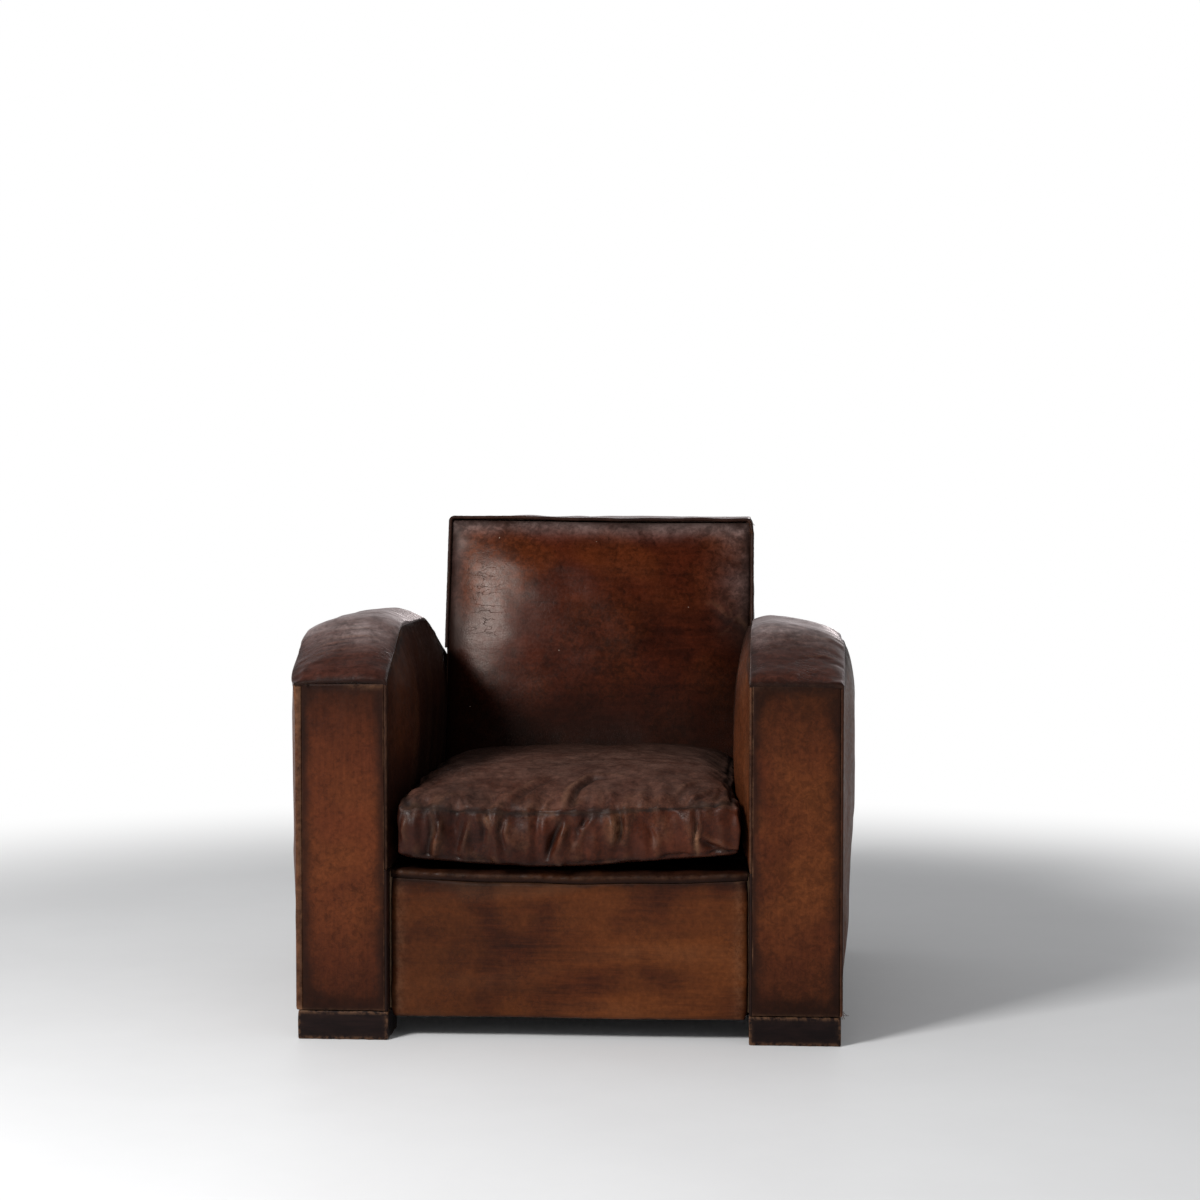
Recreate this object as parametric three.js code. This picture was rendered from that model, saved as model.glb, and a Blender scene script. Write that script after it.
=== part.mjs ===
// Worn leather club chair, built from the floor up: feet, timber frame, webbing and springs,
// stuffing, leather covers and the loose seat cushion. Millimetres, +Z up, the front faces -Y.
// Left and right are as seen from in front. While it is built, y is counted back from the arm fronts.

import * as THREE from 'three'

const V = (x, y, z) => new THREE.Vector3(x, y, z)
const { lerp, smoothstep } = THREE.MathUtils

// Driving dimensions

const fit = 0.3 // clearance between neighbours
const leather = 2 // thickness of the hide
const wadding = 1.4 // loose layer between stuffing and hide

const armFrontSpan = 804 // over the outer faces of both arms, at the front
const armWidth = 136.5
const footHeight = 43
const armFrontHeight = 529 // top of the arm front
const armHeight = 604 // inner seam of the arm top, at its highest
const armRearHeight = 498
const armRise = 150 // length of the slope behind the arm front
const armLevelEnd = 425 // where the arm top starts to fall
const armRounding = 14 // how softly the slopes meet
const armCrown = 18 // crest over the line between the two top seams
const armCrest = 0.45 // place of the crest across the arm, from the inner seam
const armOuterDrop = 16 // outer seam under the inner one
const armCapRun = 90 // how far behind the front the crown is full
const armSeamRoll = 5 // the outer top seam stands out this far
const bulgeIn = 27
const bulgeOut = 22
const bulgeRun = 110 // how far behind the front a bulge is full
const rearRun = 70 // how far before the rear it fades

const baseDepth = 800 // arm fronts to the rear face, at the bottom
const rearLean = 45 // the rear face leans back this much in its height
const backHeight = 765
const backEase = 6.5 // the back stands this far inside the arms
const backFrontY = 560 // front face of the back at the deck
const backLean = 140 // the front face leans back this much in its height
const backCrown = 12
const borderBulge = 4
const pipingRadius = 3
const pipingCorner = 14

const deckHeight = 252
const deckPadDepth = 10
const cushionSeamHeight = 355 // upper seam at the cushion's front
const cushionHeight = 400 // top of its crown
const cushionEase = 8.5 // between cushion and arm, at the front
const cushionSqueeze = 19 // each arm pushes the side in by this much
const cushionCorner = 14
const cushionNose = 5 // front face bulges forward

const apronEase = 3 // between apron and arm
const apronSetback = 20
const apronDepth = 9.7
const apronDrop = 7 // it hangs under the frame by this much
const apronCorner = 6
const lipLength = 75 // behind the front rail
const lipDepth = 5
const lipRound = 3

const facingDepth = 6
const boardDepth = 22
const railDepth = 25
const railHeight = 100
const tackRailWidth = 22
const tackRailHeight = 40
const topBoardWidth = 98
const topBoardInset = 24.5 // inner edge of the arm top board, from the arm's inner face
const topBoardDepth = 20
const topPadDepth = 30
const postWidth = 40
const postDepth = 30
const lowerRailHeight = 40
const lowerRailRise = 48 // over the deck

const frontFootDepth = 90
const frontFootInset = 2
const rearFootSize = 60

const strapWidth = 50
const strapDepth = 1.2
const strapEase = 20 // length over which a strap rises or dips
const strapMargin = 6 // it lies level this far past a crossing strap
const springPitchX = 150
const springPitchY = 160
const springFrontY = 150 // middle of the front row of springs
const springWire = 1.8 // radius
const springEndRadius = 42
const springWaistRadius = 27
const springTurns = 5
const springCoverDepth = 1.5
const dustClothDepth = 1

// Derived places

const armOuterX = armFrontSpan / 2
const armInnerX = armOuterX - armWidth
const frameOuterX = armOuterX - leather - fit
const boardInnerX = armInnerX + leather + 0.5
const boardFrontY = facingDepth + fit
const railStartY = boardFrontY + boardDepth + fit
const rearBoardBackY = baseDepth - leather - fit
const rearBoardFrontY = rearBoardBackY - railDepth
const frontRailY = apronSetback + apronDepth + fit
const deckUnder = deckHeight - deckPadDepth
const springCoverZ = deckUnder - fit - springCoverDepth
const backHalf = armInnerX - backEase
const cushionHalf = armInnerX - cushionEase
const apronHalf = armInnerX - apronEase
const backMidY = backFrontY + backLean / 2
const rows = [0, 1, 2].map((n) => springFrontY + n * springPitchY)
const columns = [-1, 0, 1].map((n) => n * springPitchX)

// Shapes of the outside, which the covers and what lies under them share

const armStations = [0, 18, 40, 75, bulgeRun, armRise - 12, armRise + 15, 290]
armStations.push(armLevelEnd - 15, armLevelEnd + 20, armLevelEnd + 60)
const outerStations = [...armStations, (armLevelEnd + baseDepth) / 2, baseDepth - rearRun, baseDepth - 25]
const across = [0, 0.06, 0.14, 0.28, armCrest, 0.62, 0.77, 0.9, 1]
const upward = [0, 0.1, 0.22, 0.4, 0.6, 0.78, 0.9, 0.96, 1]

const softMin = (a, b, r) => Math.min(a, b) - Math.max(r - Math.abs(a - b), 0) ** 2 / (4 * r)

const backFaceY = (z) => backFrontY + (backLean * (z - deckHeight)) / (backHeight - deckHeight)

const rearFaceY = (z) => baseDepth + (rearLean * (z - footHeight)) / (backHeight - footHeight)

// The arms end where they meet the leaning rear face
const armEndY = rearFaceY(armRearHeight)

const frontRamp = (y) => smoothstep(y, 0, bulgeRun)

const capRamp = (y) => 1 - (1 - Math.min(y / armCapRun, 1)) ** 2

function armSeamZ(y) {
  const front = armFrontHeight + ((armHeight - armFrontHeight) * y) / armRise
  const fall = (armHeight - armRearHeight) / (baseDepth - armLevelEnd)
  const rear = armHeight - fall * (y - armLevelEnd)
  return softMin(softMin(front, armHeight, armRounding), rear, armRounding)
}

// Height of the arm top at u, from 0 at the inner seam to 1 at the outer one
function armTopZ(y, u) {
  const rise = u < armCrest ? 1 - (1 - u / armCrest) ** 3 : 1 - ((u - armCrest) / (1 - armCrest)) ** 2.6
  return armSeamZ(y) + capRamp(y) * (armCrown * rise - armOuterDrop * u)
}

const armTopX = (y, u) => lerp(armInnerX, armOuterX + armSeamRoll * capRamp(y), u)

// Outer side of the arm at v, from 0 at the bottom to 1 at the top seam
function armOuterFace(y, v) {
  const shape = (1 - (1 - v) ** 2.2) * (1 - v ** 14)
  const ramp = frontRamp(y) * smoothstep(baseDepth - y, 0, rearRun)
  return armOuterX + bulgeOut * shape * ramp + armSeamRoll * v ** 14 * capRamp(y)
}

// Inner side of the arm at v, from 0 at the deck to 1 at the top seam
function armInnerFace(y, v) {
  const shape = (1 - (1 - v) ** 4) * (1 - v ** 6)
  const fade = 1 - 0.6 * smoothstep(y, armLevelEnd, backMidY)
  return armInnerX - bulgeIn * shape * frontRamp(y) * fade
}

const crownAt = (x, v) => backCrown * (1 - (x / backHalf) ** 2) * Math.sin(Math.PI * v) ** 0.5

// Solids

function faced(positions, index) {
  const geometry = new THREE.BufferGeometry()
  geometry.setAttribute('position', new THREE.Float32BufferAttribute(positions.flatMap((p) => p.toArray()), 3))
  const [a, b, c] = [V(), V(), V()]
  let volume = 0
  for (let n = 0; n < index.length; n += 3) {
    a.copy(positions[index[n]])
    b.copy(positions[index[n + 1]])
    c.copy(positions[index[n + 2]])
    volume += a.dot(b.cross(c))
  }
  geometry.setIndex(volume < 0 ? index.slice().reverse() : index)
  geometry.computeVertexNormals()
  return geometry
}

// The closed solid between two skins, each a list of rows of points
function between(skinA, skinB) {
  const n = skinA.length
  const m = skinA[0].length
  const points = [...skinA.flat(), ...skinB.flat()]
  const at = (i, j) => i * m + j
  const other = n * m
  const index = []
  for (let i = 0; i < n - 1; i++) {
    for (let j = 0; j < m - 1; j++) {
      const [a, b, c, d] = [at(i, j), at(i + 1, j), at(i + 1, j + 1), at(i, j + 1)]
      index.push(a, b, c, a, c, d)
      index.push(other + a, other + c, other + b, other + a, other + d, other + c)
    }
  }
  const rim = []
  for (let i = 0; i < n - 1; i++) rim.push(at(i, 0))
  for (let j = 0; j < m - 1; j++) rim.push(at(n - 1, j))
  for (let i = n - 1; i > 0; i--) rim.push(at(i, m - 1))
  for (let j = m - 1; j > 0; j--) rim.push(at(0, j))
  rim.forEach((a, k) => {
    const b = rim[(k + 1) % rim.length]
    index.push(a, other + a, other + b, a, other + b, b)
  })
  return faced(points, index)
}

// A solid through rings of points, with a fan to a middle point at each end
function lofted(rings, startMiddle, endMiddle) {
  const m = rings[0].length
  const points = [...rings.flat(), startMiddle, endMiddle]
  const start = points.length - 2
  const index = []
  for (let j = 0; j < m; j++) {
    const k = (j + 1) % m
    for (let i = 0; i < rings.length - 1; i++) {
      index.push(i * m + j, (i + 1) * m + j, (i + 1) * m + k, i * m + j, (i + 1) * m + k, i * m + k)
    }
    const last = (rings.length - 1) * m
    index.push(start, j, k, start + 1, last + k, last + j)
  }
  return faced(points, index)
}

const grid = (us, vs, point) => us.map((u) => vs.map((v) => point(u, v)))

function block([x0, x1], [y0, y1], [z0, z1]) {
  const geometry = new THREE.BoxGeometry(x1 - x0, y1 - y0, z1 - z0)
  return geometry.translate((x0 + x1) / 2, (y0 + y1) / 2, (z0 + z1) / 2)
}

// A [y, z] outline pushed along X
function sideProfile(outline, [x0, x1]) {
  const shape = new THREE.Shape(outline.map(([y, z]) => new THREE.Vector2(y, z)))
  const geometry = new THREE.ExtrudeGeometry(shape, { depth: x1 - x0, bevelEnabled: false })
  return geometry.applyMatrix4(new THREE.Matrix4().set(0, 0, 1, x0, 1, 0, 0, 0, 0, 1, 0, 0, 0, 0, 0, 1))
}

function roundShape(radius, sides) {
  const turns = Array.from({ length: sides }, (_, n) => (2 * Math.PI * n) / sides)
  return new THREE.Shape(turns.map((a) => new THREE.Vector2(radius * Math.cos(a), radius * Math.sin(a))))
}

function mirrored(geometry) {
  const copy = geometry.index ? geometry.toNonIndexed() : geometry.clone()
  const position = copy.attributes.position
  for (let n = 0; n < position.count; n += 3) {
    const [a, b] = [1, 2].map((k) => V().fromBufferAttribute(position, n + k))
    position.setXYZ(n + 1, b.x, b.y, b.z)
    position.setXYZ(n + 2, a.x, a.y, a.z)
  }
  for (let n = 0; n < position.count; n++) position.setX(n, -position.getX(n))
  copy.computeVertexNormals()
  return copy
}

// Finishes

const finish = (colour, roughness) => new THREE.MeshStandardMaterial({ color: colour, roughness, metalness: 0 })
const finishes = {
  hide: () => finish(0x4a2a1a, 0.5),
  wornHide: () => finish(0x6b3d22, 0.45),
  timber: () => finish(0xa98354, 0.75),
  darkWood: () => finish(0x20160f, 0.5),
  webbing: () => finish(0xb39a6b, 0.9),
  steel: () => new THREE.MeshStandardMaterial({ color: 0x6b6d70, roughness: 0.4, metalness: 0.9 }),
  hessian: () => finish(0x9c8355, 0.95),
  stuffing: () => finish(0x4d3f30, 1),
  dustCloth: () => finish(0x1c1b1a, 0.95),
}

const chair = new THREE.Group()
chair.name = 'club_chair'

function add(group, name, finishName, geometry) {
  const mesh = new THREE.Mesh(geometry, finishes[finishName]())
  mesh.name = name
  group.add(mesh)
}

function addPair(group, name, finishName, geometry) {
  add(group, `${name}_right`, finishName, geometry)
  add(group, `${name}_left`, finishName, mirrored(geometry))
}

function section(name) {
  const group = new THREE.Group()
  group.name = name
  chair.add(group)
  return group
}

// Feet

const footTop = footHeight - fit

function frontFoot() {
  const sides = [armInnerX, frameOuterX]
  return block(sides, [frontFootInset, frontFootInset + frontFootDepth], [0, footTop])
}

function rearFoot() {
  const sides = [frameOuterX - rearFootSize, frameOuterX]
  return block(sides, [rearBoardBackY - rearFootSize, rearBoardBackY], [0, footTop])
}

// Timber frame

const frontBoardTop = armFrontHeight - topPadDepth

const topBoardZ = (y) => armSeamZ(y) - topPadDepth

function armFrontBoard() {
  const depth = [boardFrontY, boardFrontY + boardDepth]
  return block([boardInnerX, frameOuterX], depth, [footHeight, frontBoardTop])
}

function armRearBoard() {
  const top = topBoardZ(rearBoardBackY)
  return block([boardInnerX, frameOuterX], [rearBoardFrontY, rearBoardBackY], [footHeight, top])
}

function armTopBoard() {
  const ends = [railStartY, rearBoardFrontY - fit]
  const stops = [ends[0], ...outerStations.filter((y) => y > ends[0] && y < ends[1]), ends[1]]
  const lower = stops.map((y) => [y, topBoardZ(y) - topBoardDepth])
  const upper = stops.map((y) => [y, topBoardZ(y)]).reverse()
  const inner = armInnerX + topBoardInset
  return sideProfile([...lower, ...upper], [inner, inner + topBoardWidth])
}

function sideRail() {
  const ends = [railStartY, rearBoardFrontY - fit]
  return block([frameOuterX - railDepth, frameOuterX], ends, [footHeight, footHeight + railHeight])
}

function tackRail() {
  const ends = [railStartY, rearBoardFrontY - fit]
  return block([boardInnerX, boardInnerX + tackRailWidth], ends, [deckHeight - tackRailHeight, deckHeight])
}

function frontRail() {
  const half = boardInnerX - fit
  return block([-half, half], [frontRailY, frontRailY + railDepth], [footHeight, deckHeight - lipDepth - fit])
}

function backRail() {
  const half = boardInnerX - fit
  return block([-half, half], [rearBoardFrontY, rearBoardBackY], [footHeight, footHeight + railHeight])
}

const postBackY = (z) => rearFaceY(z) - leather - fit
const postFrontY = (z) => postBackY(z) - postDepth
const postOuterX = backHalf - leather - fit
const topRailZ = backHeight - leather - fit - railDepth

function leaning(z0, z1, sides) {
  const outline = [
    [postFrontY(z0), z0],
    [postBackY(z0), z0],
    [postBackY(z1), z1],
    [postFrontY(z1), z1],
  ]
  return sideProfile(outline, sides)
}

function backPost() {
  return leaning(footHeight + railHeight + fit, topRailZ - fit, [postOuterX - postWidth, postOuterX])
}

function backTopRail() {
  return leaning(topRailZ, topRailZ + railDepth, [-postOuterX, postOuterX])
}

function backLowerRail() {
  const half = postOuterX - postWidth - fit
  const bottom = deckHeight + lowerRailRise
  return leaning(bottom, bottom + lowerRailHeight, [-half, half])
}

// Webbing, springs and their cloths

const strapHigh = footHeight - fit - strapDepth / 2
const strapLow = strapHigh - strapDepth - fit

// A strap's edge-on outline: over and under the straps that it crosses
function strapOutline(ends, crossings, startsHigh) {
  const reach = strapWidth / 2 + strapMargin
  const line = [[ends[0], strapHigh]]
  crossings.forEach((at, n) => {
    const z = (n % 2 === 0) === startsHigh ? strapHigh : strapLow
    if (n === 0) line.push([at - reach - strapEase, strapHigh])
    line.push([at - reach, z], [at + reach, z])
    if (n === crossings.length - 1) line.push([at + reach + strapEase, strapHigh])
  })
  line.push([ends[1], strapHigh])
  const lower = line.map(([s, z]) => [s, z - strapDepth / 2])
  const upper = line.map(([s, z]) => [s, z + strapDepth / 2]).reverse()
  return [...lower, ...upper]
}

function lengthwiseStrap(n) {
  const outline = strapOutline([frontRailY, rearBoardBackY], rows, n % 2 === 0)
  return sideProfile(outline, [columns[n] - strapWidth / 2, columns[n] + strapWidth / 2])
}

function crosswiseStrap(n) {
  const outline = strapOutline([-frameOuterX, frameOuterX], columns, n % 2 === 1)
  const geometry = sideProfile(outline, [-rows[n] - strapWidth / 2, -rows[n] + strapWidth / 2])
  return geometry.rotateZ(-Math.PI / 2)
}

class SpringPath extends THREE.Curve {
  getPoint(t) {
    const waist = Math.sin(Math.PI * t)
    const radius = lerp(springEndRadius, springWaistRadius, waist)
    const angle = 2 * Math.PI * springTurns * t
    const z = lerp(footHeight + springWire, springCoverZ - fit - springWire, smoothstep(t, 0, 1) * 0.4 + t * 0.6)
    return V(radius * Math.cos(angle), radius * Math.sin(angle), z)
  }
}

function spring() {
  const wire = roundShape(springWire, 5)
  return new THREE.ExtrudeGeometry(wire, { steps: springTurns * 8, extrudePath: new SpringPath() })
}

const deckHalf = boardInnerX - fit
const deckRear = postFrontY(deckUnder) - fit

function springCover() {
  const depth = [frontRailY + railDepth + fit, rearBoardFrontY - fit]
  return block([-deckHalf, deckHalf], depth, [springCoverZ, springCoverZ + springCoverDepth])
}

function dustCloth() {
  const top = strapLow - strapDepth / 2 - fit
  const [front, rear] = [frontRailY + fit, rearBoardBackY]
  const frontCut = frontFootInset + frontFootDepth + fit
  const rearCut = rear - rearFootSize - fit
  const innerFront = armInnerX - fit
  const innerRear = frameOuterX - rearFootSize - fit
  const half = [
    [innerFront, front],
    [innerFront, frontCut],
    [frameOuterX, frontCut],
    [frameOuterX, rearCut],
    [innerRear, rearCut],
    [innerRear, rear],
  ]
  const outline = [...half, ...half.map(([x, y]) => [-x, y]).reverse()]
  const shape = new THREE.Shape(outline.map(([x, y]) => new THREE.Vector2(x, y)))
  const geometry = new THREE.ExtrudeGeometry(shape, { depth: dustClothDepth, bevelEnabled: false })
  return geometry.translate(0, 0, top - dustClothDepth)
}

// Stuffing

const innerBottom = deckHeight + fit
const innerTop = (y) => armTopZ(y, 0) - leather - fit
const innerRearY = (z) => backFaceY(z) - leather

// A point on the arm's inner face, pushed outwards by depth
function innerPoint(y, z, depth) {
  const v = (z - innerBottom) / (innerTop(y) - innerBottom)
  return V(armInnerFace(y, v) + depth, y, z)
}

function deckPad() {
  const depth = [frontRailY + railDepth + lipLength, deckRear]
  return block([-deckHalf, deckHalf], depth, [deckUnder, deckHeight])
}

function armInnerPad() {
  const far = armInnerX + topBoardInset - fit
  const stations = [railStartY, ...armStations.filter((y) => y > railStartY), null]
  const skin = (place) =>
    grid(stations, upward, (station, v) => {
      const level = (y) => lerp(innerBottom, armSeamZ(y) - topPadDepth - fit, v)
      const rearY = innerRearY(level(backMidY))
      const y = station ?? rearY
      return place(y, level(y))
    })
  const near = skin((y, z) => innerPoint(y, z, leather + wadding))
  return between(near, skin((y, z) => V(far, y, z)))
}

function armTopPad() {
  const stations = [boardFrontY, ...outerStations.slice(1), postBackY(topBoardZ(armEndY))]
  const inner = armInnerX + leather + fit
  const place = (y, u, z) => V(lerp(inner, frameOuterX, u), y, z)
  const upper = grid(stations, across, (y, u) => place(y, u, armTopZ(y, u) - leather - wadding))
  return between(upper, grid(stations, across, (y, u) => place(y, u, topBoardZ(y) + fit)))
}

const backAcross = [-1, -0.8, -0.5, 0, 0.5, 0.8, 1]
const backUp = [0, 0.08, 0.2, 0.4, 0.6, 0.8, 0.92, 1]
const coverTop = backHeight - leather - fit

function backSkin(half, place) {
  return grid(backAcross, backUp, (s, v) => place(s * half, lerp(deckHeight + fit, coverTop, v), v))
}

function backPad() {
  const half = backHalf - leather - fit
  const near = backSkin(half, (x, z, v) => V(x, backFaceY(z) - crownAt(x, v) + leather + fit, z))
  return between(near, backSkin(half, (x, z) => V(x, postFrontY(z) - fit, z)))
}

// Leather covers

function armFacing() {
  const top = armFrontHeight - leather - fit
  return block([armInnerX + leather + fit, frameOuterX], [0, facingDepth], [footHeight, top])
}

function armTopCover() {
  const skin = (depth) =>
    grid([...outerStations, null], across, (station, u) => {
      const y = station ?? postBackY(armTopZ(armEndY, u) - leather)
      return V(armTopX(y, u), y, armTopZ(y, u) - depth)
    })
  return between(skin(0), skin(leather))
}

function insideArmCover() {
  const skin = (depth) =>
    grid([...armStations, null], upward, (station, v) => {
      const level = (y) => lerp(innerBottom, innerTop(y), v)
      const y = station ?? innerRearY(level(backMidY))
      return innerPoint(y, level(y), depth)
    })
  return between(skin(0), skin(leather))
}

function outsideArmCover() {
  const skin = (depth) =>
    grid([...outerStations, null], upward, (station, v) => {
      const level = (y) => lerp(footHeight, armTopZ(y, 1) - leather - fit, v)
      const y = station ?? postBackY(level(armEndY))
      return V(armOuterFace(y, v) - depth, y, level(y))
    })
  return between(skin(0), skin(leather))
}

function insideBackCover() {
  const skin = (depth) => backSkin(backHalf, (x, z, v) => V(x, backFaceY(z) - crownAt(x, v) + depth, z))
  return between(skin(0), skin(leather))
}

const borderBottom = armRearHeight + 5
const borderStops = [0, 0.25, 0.5, 0.75, 1]

function backSideBorder() {
  const skin = (depth) =>
    grid(borderStops, [0, 0.3, 0.6, 0.85, 1], (s, v) => {
      const z = lerp(borderBottom, coverTop, v)
      const y = lerp(backFaceY(z) + leather + fit, postBackY(z), s)
      const bulge = borderBulge * Math.sin(Math.PI * s) * (1 - v * v)
      return V(backHalf + bulge - depth, y, z)
    })
  return between(skin(0), skin(leather))
}

function backTopBorder() {
  const skin = (depth) =>
    grid(backAcross, borderStops, (s, t) => {
      const y = lerp(backFaceY(coverTop), rearFaceY(coverTop), t)
      return V(s * backHalf, y, backHeight - depth)
    })
  return between(skin(0), skin(leather))
}

function outsideBackCover() {
  const shoulder = across.map((u) => [lerp(backHalf + 1, armOuterX, u), armTopZ(armEndY, u)])
  const half = [[backHalf, coverTop], [backHalf, shoulder[0][1] + 2], ...shoulder, [armOuterX, footHeight]]
  const outline = [...half, ...half.map(([x, z]) => [-x, z]).reverse()]
  const shape = new THREE.Shape(outline.map(([x, z]) => new THREE.Vector2(x, z)))
  const geometry = new THREE.ExtrudeGeometry(shape, { depth: leather, bevelEnabled: false })
  const position = geometry.attributes.position
  for (let n = 0; n < position.count; n++) {
    const z = position.getY(n)
    position.setXYZ(n, position.getX(n), rearFaceY(z) - position.getZ(n), z)
  }
  geometry.computeVertexNormals()
  return geometry
}

// Front edges of the back: up one side, along the top and down the other
function backPiping() {
  const off = pipingRadius + fit
  const half = backHalf + off * 0.2
  const top = backHeight + off * 0.2
  const along = (x, z) => V(x, backFaceY(Math.min(z, coverTop)) - off * 1.1, z)
  const path = new THREE.CurvePath()
  const foot = armSeamZ(backFaceY(armHeight)) + 4
  const corner = pipingCorner
  for (const side of [-1, 1]) {
    const low = along(side * half, foot)
    const high = along(side * half, top - corner)
    const inner = along(side * (half - corner), top)
    const rise = new THREE.LineCurve3(low, high)
    const bend = new THREE.QuadraticBezierCurve3(high, along(side * half, top), inner)
    if (side < 0) {
      path.add(rise)
      path.add(bend)
      path.add(new THREE.LineCurve3(inner, along(half - corner, top)))
    } else {
      path.add(new THREE.QuadraticBezierCurve3(inner, along(half, top), high))
      path.add(new THREE.LineCurve3(high, low))
    }
  }
  const points = path.curves.flatMap((curve) => curve.getPoints(curve.isLineCurve3 ? 3 : 4).slice(0, -1))
  points.push(path.curves.at(-1).getPoint(1))
  const line = new THREE.CatmullRomCurve3(points, false, 'centripetal')
  return new THREE.ExtrudeGeometry(roundShape(pipingRadius, 6), { steps: 44, extrudePath: line })
}

function frontApron() {
  const half = apronHalf
  const [low, high] = [footHeight - apronDrop, deckHeight - lipDepth - fit]
  const shape = new THREE.Shape()
  const inset = apronCorner
  shape.moveTo(-half, apronSetback + apronDepth)
  shape.lineTo(-half, apronSetback + inset)
  shape.quadraticCurveTo(-half, apronSetback, -half + inset, apronSetback)
  shape.lineTo(half - inset, apronSetback)
  shape.quadraticCurveTo(half, apronSetback, half, apronSetback + inset)
  shape.lineTo(half, apronSetback + apronDepth)
  const geometry = new THREE.ExtrudeGeometry(shape, { depth: high - low, bevelEnabled: false, curveSegments: 4 })
  return geometry.translate(0, 0, low)
}

// Leather strip behind the apron's top seam, stepped down behind the front rail
function deckLip() {
  const low = deckHeight - lipDepth
  const behind = frontRailY + railDepth + fit
  const rear = frontRailY + railDepth + lipLength - fit
  const outline = [
    [apronSetback, low],
    [behind, low],
    [behind, deckUnder],
    [rear, deckUnder],
    [rear, deckHeight],
    [apronSetback + lipRound, deckHeight],
    [apronSetback, deckHeight - lipRound],
  ]
  return sideProfile(outline, [-apronHalf, apronHalf])
}

// The loose cushion: crowned on top, pushed in by the arms, flat where it lies on the deck
function seatCushion() {
  const bottom = deckHeight + fit
  const rearY = (z) => backFaceY(z) - backCrown - fit
  const stations = [0, 0.015, 0.06, 0.13, 0.22, 0.35, 0.5, 0.65, 0.8, 0.92, 0.985, 1]
  const rings = stations.map((t) => {
    const edge = Math.min(t, 1 - t) < 0.01 ? 1 : 0
    const y0 = t * rearY(bottom)
    const half = cushionHalf - cushionSqueeze * frontRamp(y0) - edge * cushionCorner * 0.4
    const swell = Math.sin(Math.PI * Math.min(t * 0.9 + 0.02, 1)) ** 0.7
    const seam = cushionSeamHeight + (cushionHeight - cushionSeamHeight) * 0.35 * swell - edge * 6
    const crown = (cushionHeight - cushionSeamHeight) * 0.65 * swell
    const low = bottom + edge * cushionCorner * 0.5
    const side = [
      [0.35, low],
      [0.96, low],
      [1, low + cushionCorner],
      [1, seam - cushionCorner],
      [0.985, seam],
      [0.85, seam + crown * 0.45],
      [0.6, seam + crown * 0.85],
      [0.22, seam + crown],
    ]
    const ring = [...side, ...side.map(([s, z]) => [-s, z]).reverse()]
    return ring.map(([s, z]) => V(s * half, t * rearY(z), z))
  })
  const middle = (bottom + cushionSeamHeight) / 2
  return lofted(rings, V(0, -cushionNose, middle), V(0, rearY(middle), middle))
}

// Assembly

const frame = section('timber_frame')
addPair(frame, 'front_foot', 'darkWood', frontFoot())
addPair(frame, 'rear_foot', 'darkWood', rearFoot())
addPair(frame, 'arm_front_board', 'timber', armFrontBoard())
addPair(frame, 'arm_rear_board', 'timber', armRearBoard())
addPair(frame, 'arm_top_board', 'timber', armTopBoard())
addPair(frame, 'side_rail', 'timber', sideRail())
addPair(frame, 'arm_tacking_rail', 'timber', tackRail())
addPair(frame, 'back_post', 'timber', backPost())
add(frame, 'front_rail', 'timber', frontRail())
add(frame, 'back_rail', 'timber', backRail())
add(frame, 'back_top_rail', 'timber', backTopRail())
add(frame, 'back_lower_rail', 'timber', backLowerRail())

const suspension = section('suspension')
for (let n = 0; n < columns.length; n++) {
  add(suspension, `webbing_lengthwise_${n + 1}`, 'webbing', lengthwiseStrap(n))
}
for (let n = 0; n < rows.length; n++) {
  add(suspension, `webbing_crosswise_${n + 1}`, 'webbing', crosswiseStrap(n))
}
rows.forEach((y, row) => {
  columns.forEach((x, column) => {
    const geometry = spring().translate(x, y, 0)
    add(suspension, `seat_spring_${row + 1}_${column + 1}`, 'steel', geometry)
  })
})
add(suspension, 'spring_cover', 'hessian', springCover())
add(suspension, 'dust_cloth', 'dustCloth', dustCloth())

const stuffing = section('stuffing')
add(stuffing, 'deck_pad', 'stuffing', deckPad())
addPair(stuffing, 'arm_inner_pad', 'stuffing', armInnerPad())
addPair(stuffing, 'arm_top_pad', 'stuffing', armTopPad())
add(stuffing, 'back_pad', 'stuffing', backPad())

const covers = section('leather_covers')
addPair(covers, 'arm_facing', 'wornHide', armFacing())
addPair(covers, 'arm_top_cover', 'hide', armTopCover())
addPair(covers, 'inside_arm_cover', 'hide', insideArmCover())
addPair(covers, 'outside_arm_cover', 'hide', outsideArmCover())
addPair(covers, 'back_side_border', 'hide', backSideBorder())
add(covers, 'back_top_border', 'hide', backTopBorder())
add(covers, 'inside_back_cover', 'hide', insideBackCover())
add(covers, 'outside_back_cover', 'hide', outsideBackCover())
add(covers, 'back_piping', 'hide', backPiping())
add(covers, 'front_apron', 'wornHide', frontApron())
add(covers, 'deck_lip', 'hide', deckLip())
add(covers, 'seat_cushion', 'wornHide', seatCushion())

// The origin is on the floor, under the middle of the whole chair
const bounds = new THREE.Box3().setFromObject(chair)
const middle = bounds.getCenter(V())
chair.position.set(-middle.x, -middle.y, -bounds.min.z)
const part = new THREE.Group()
part.add(chair)

export default part
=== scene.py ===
import math

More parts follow.
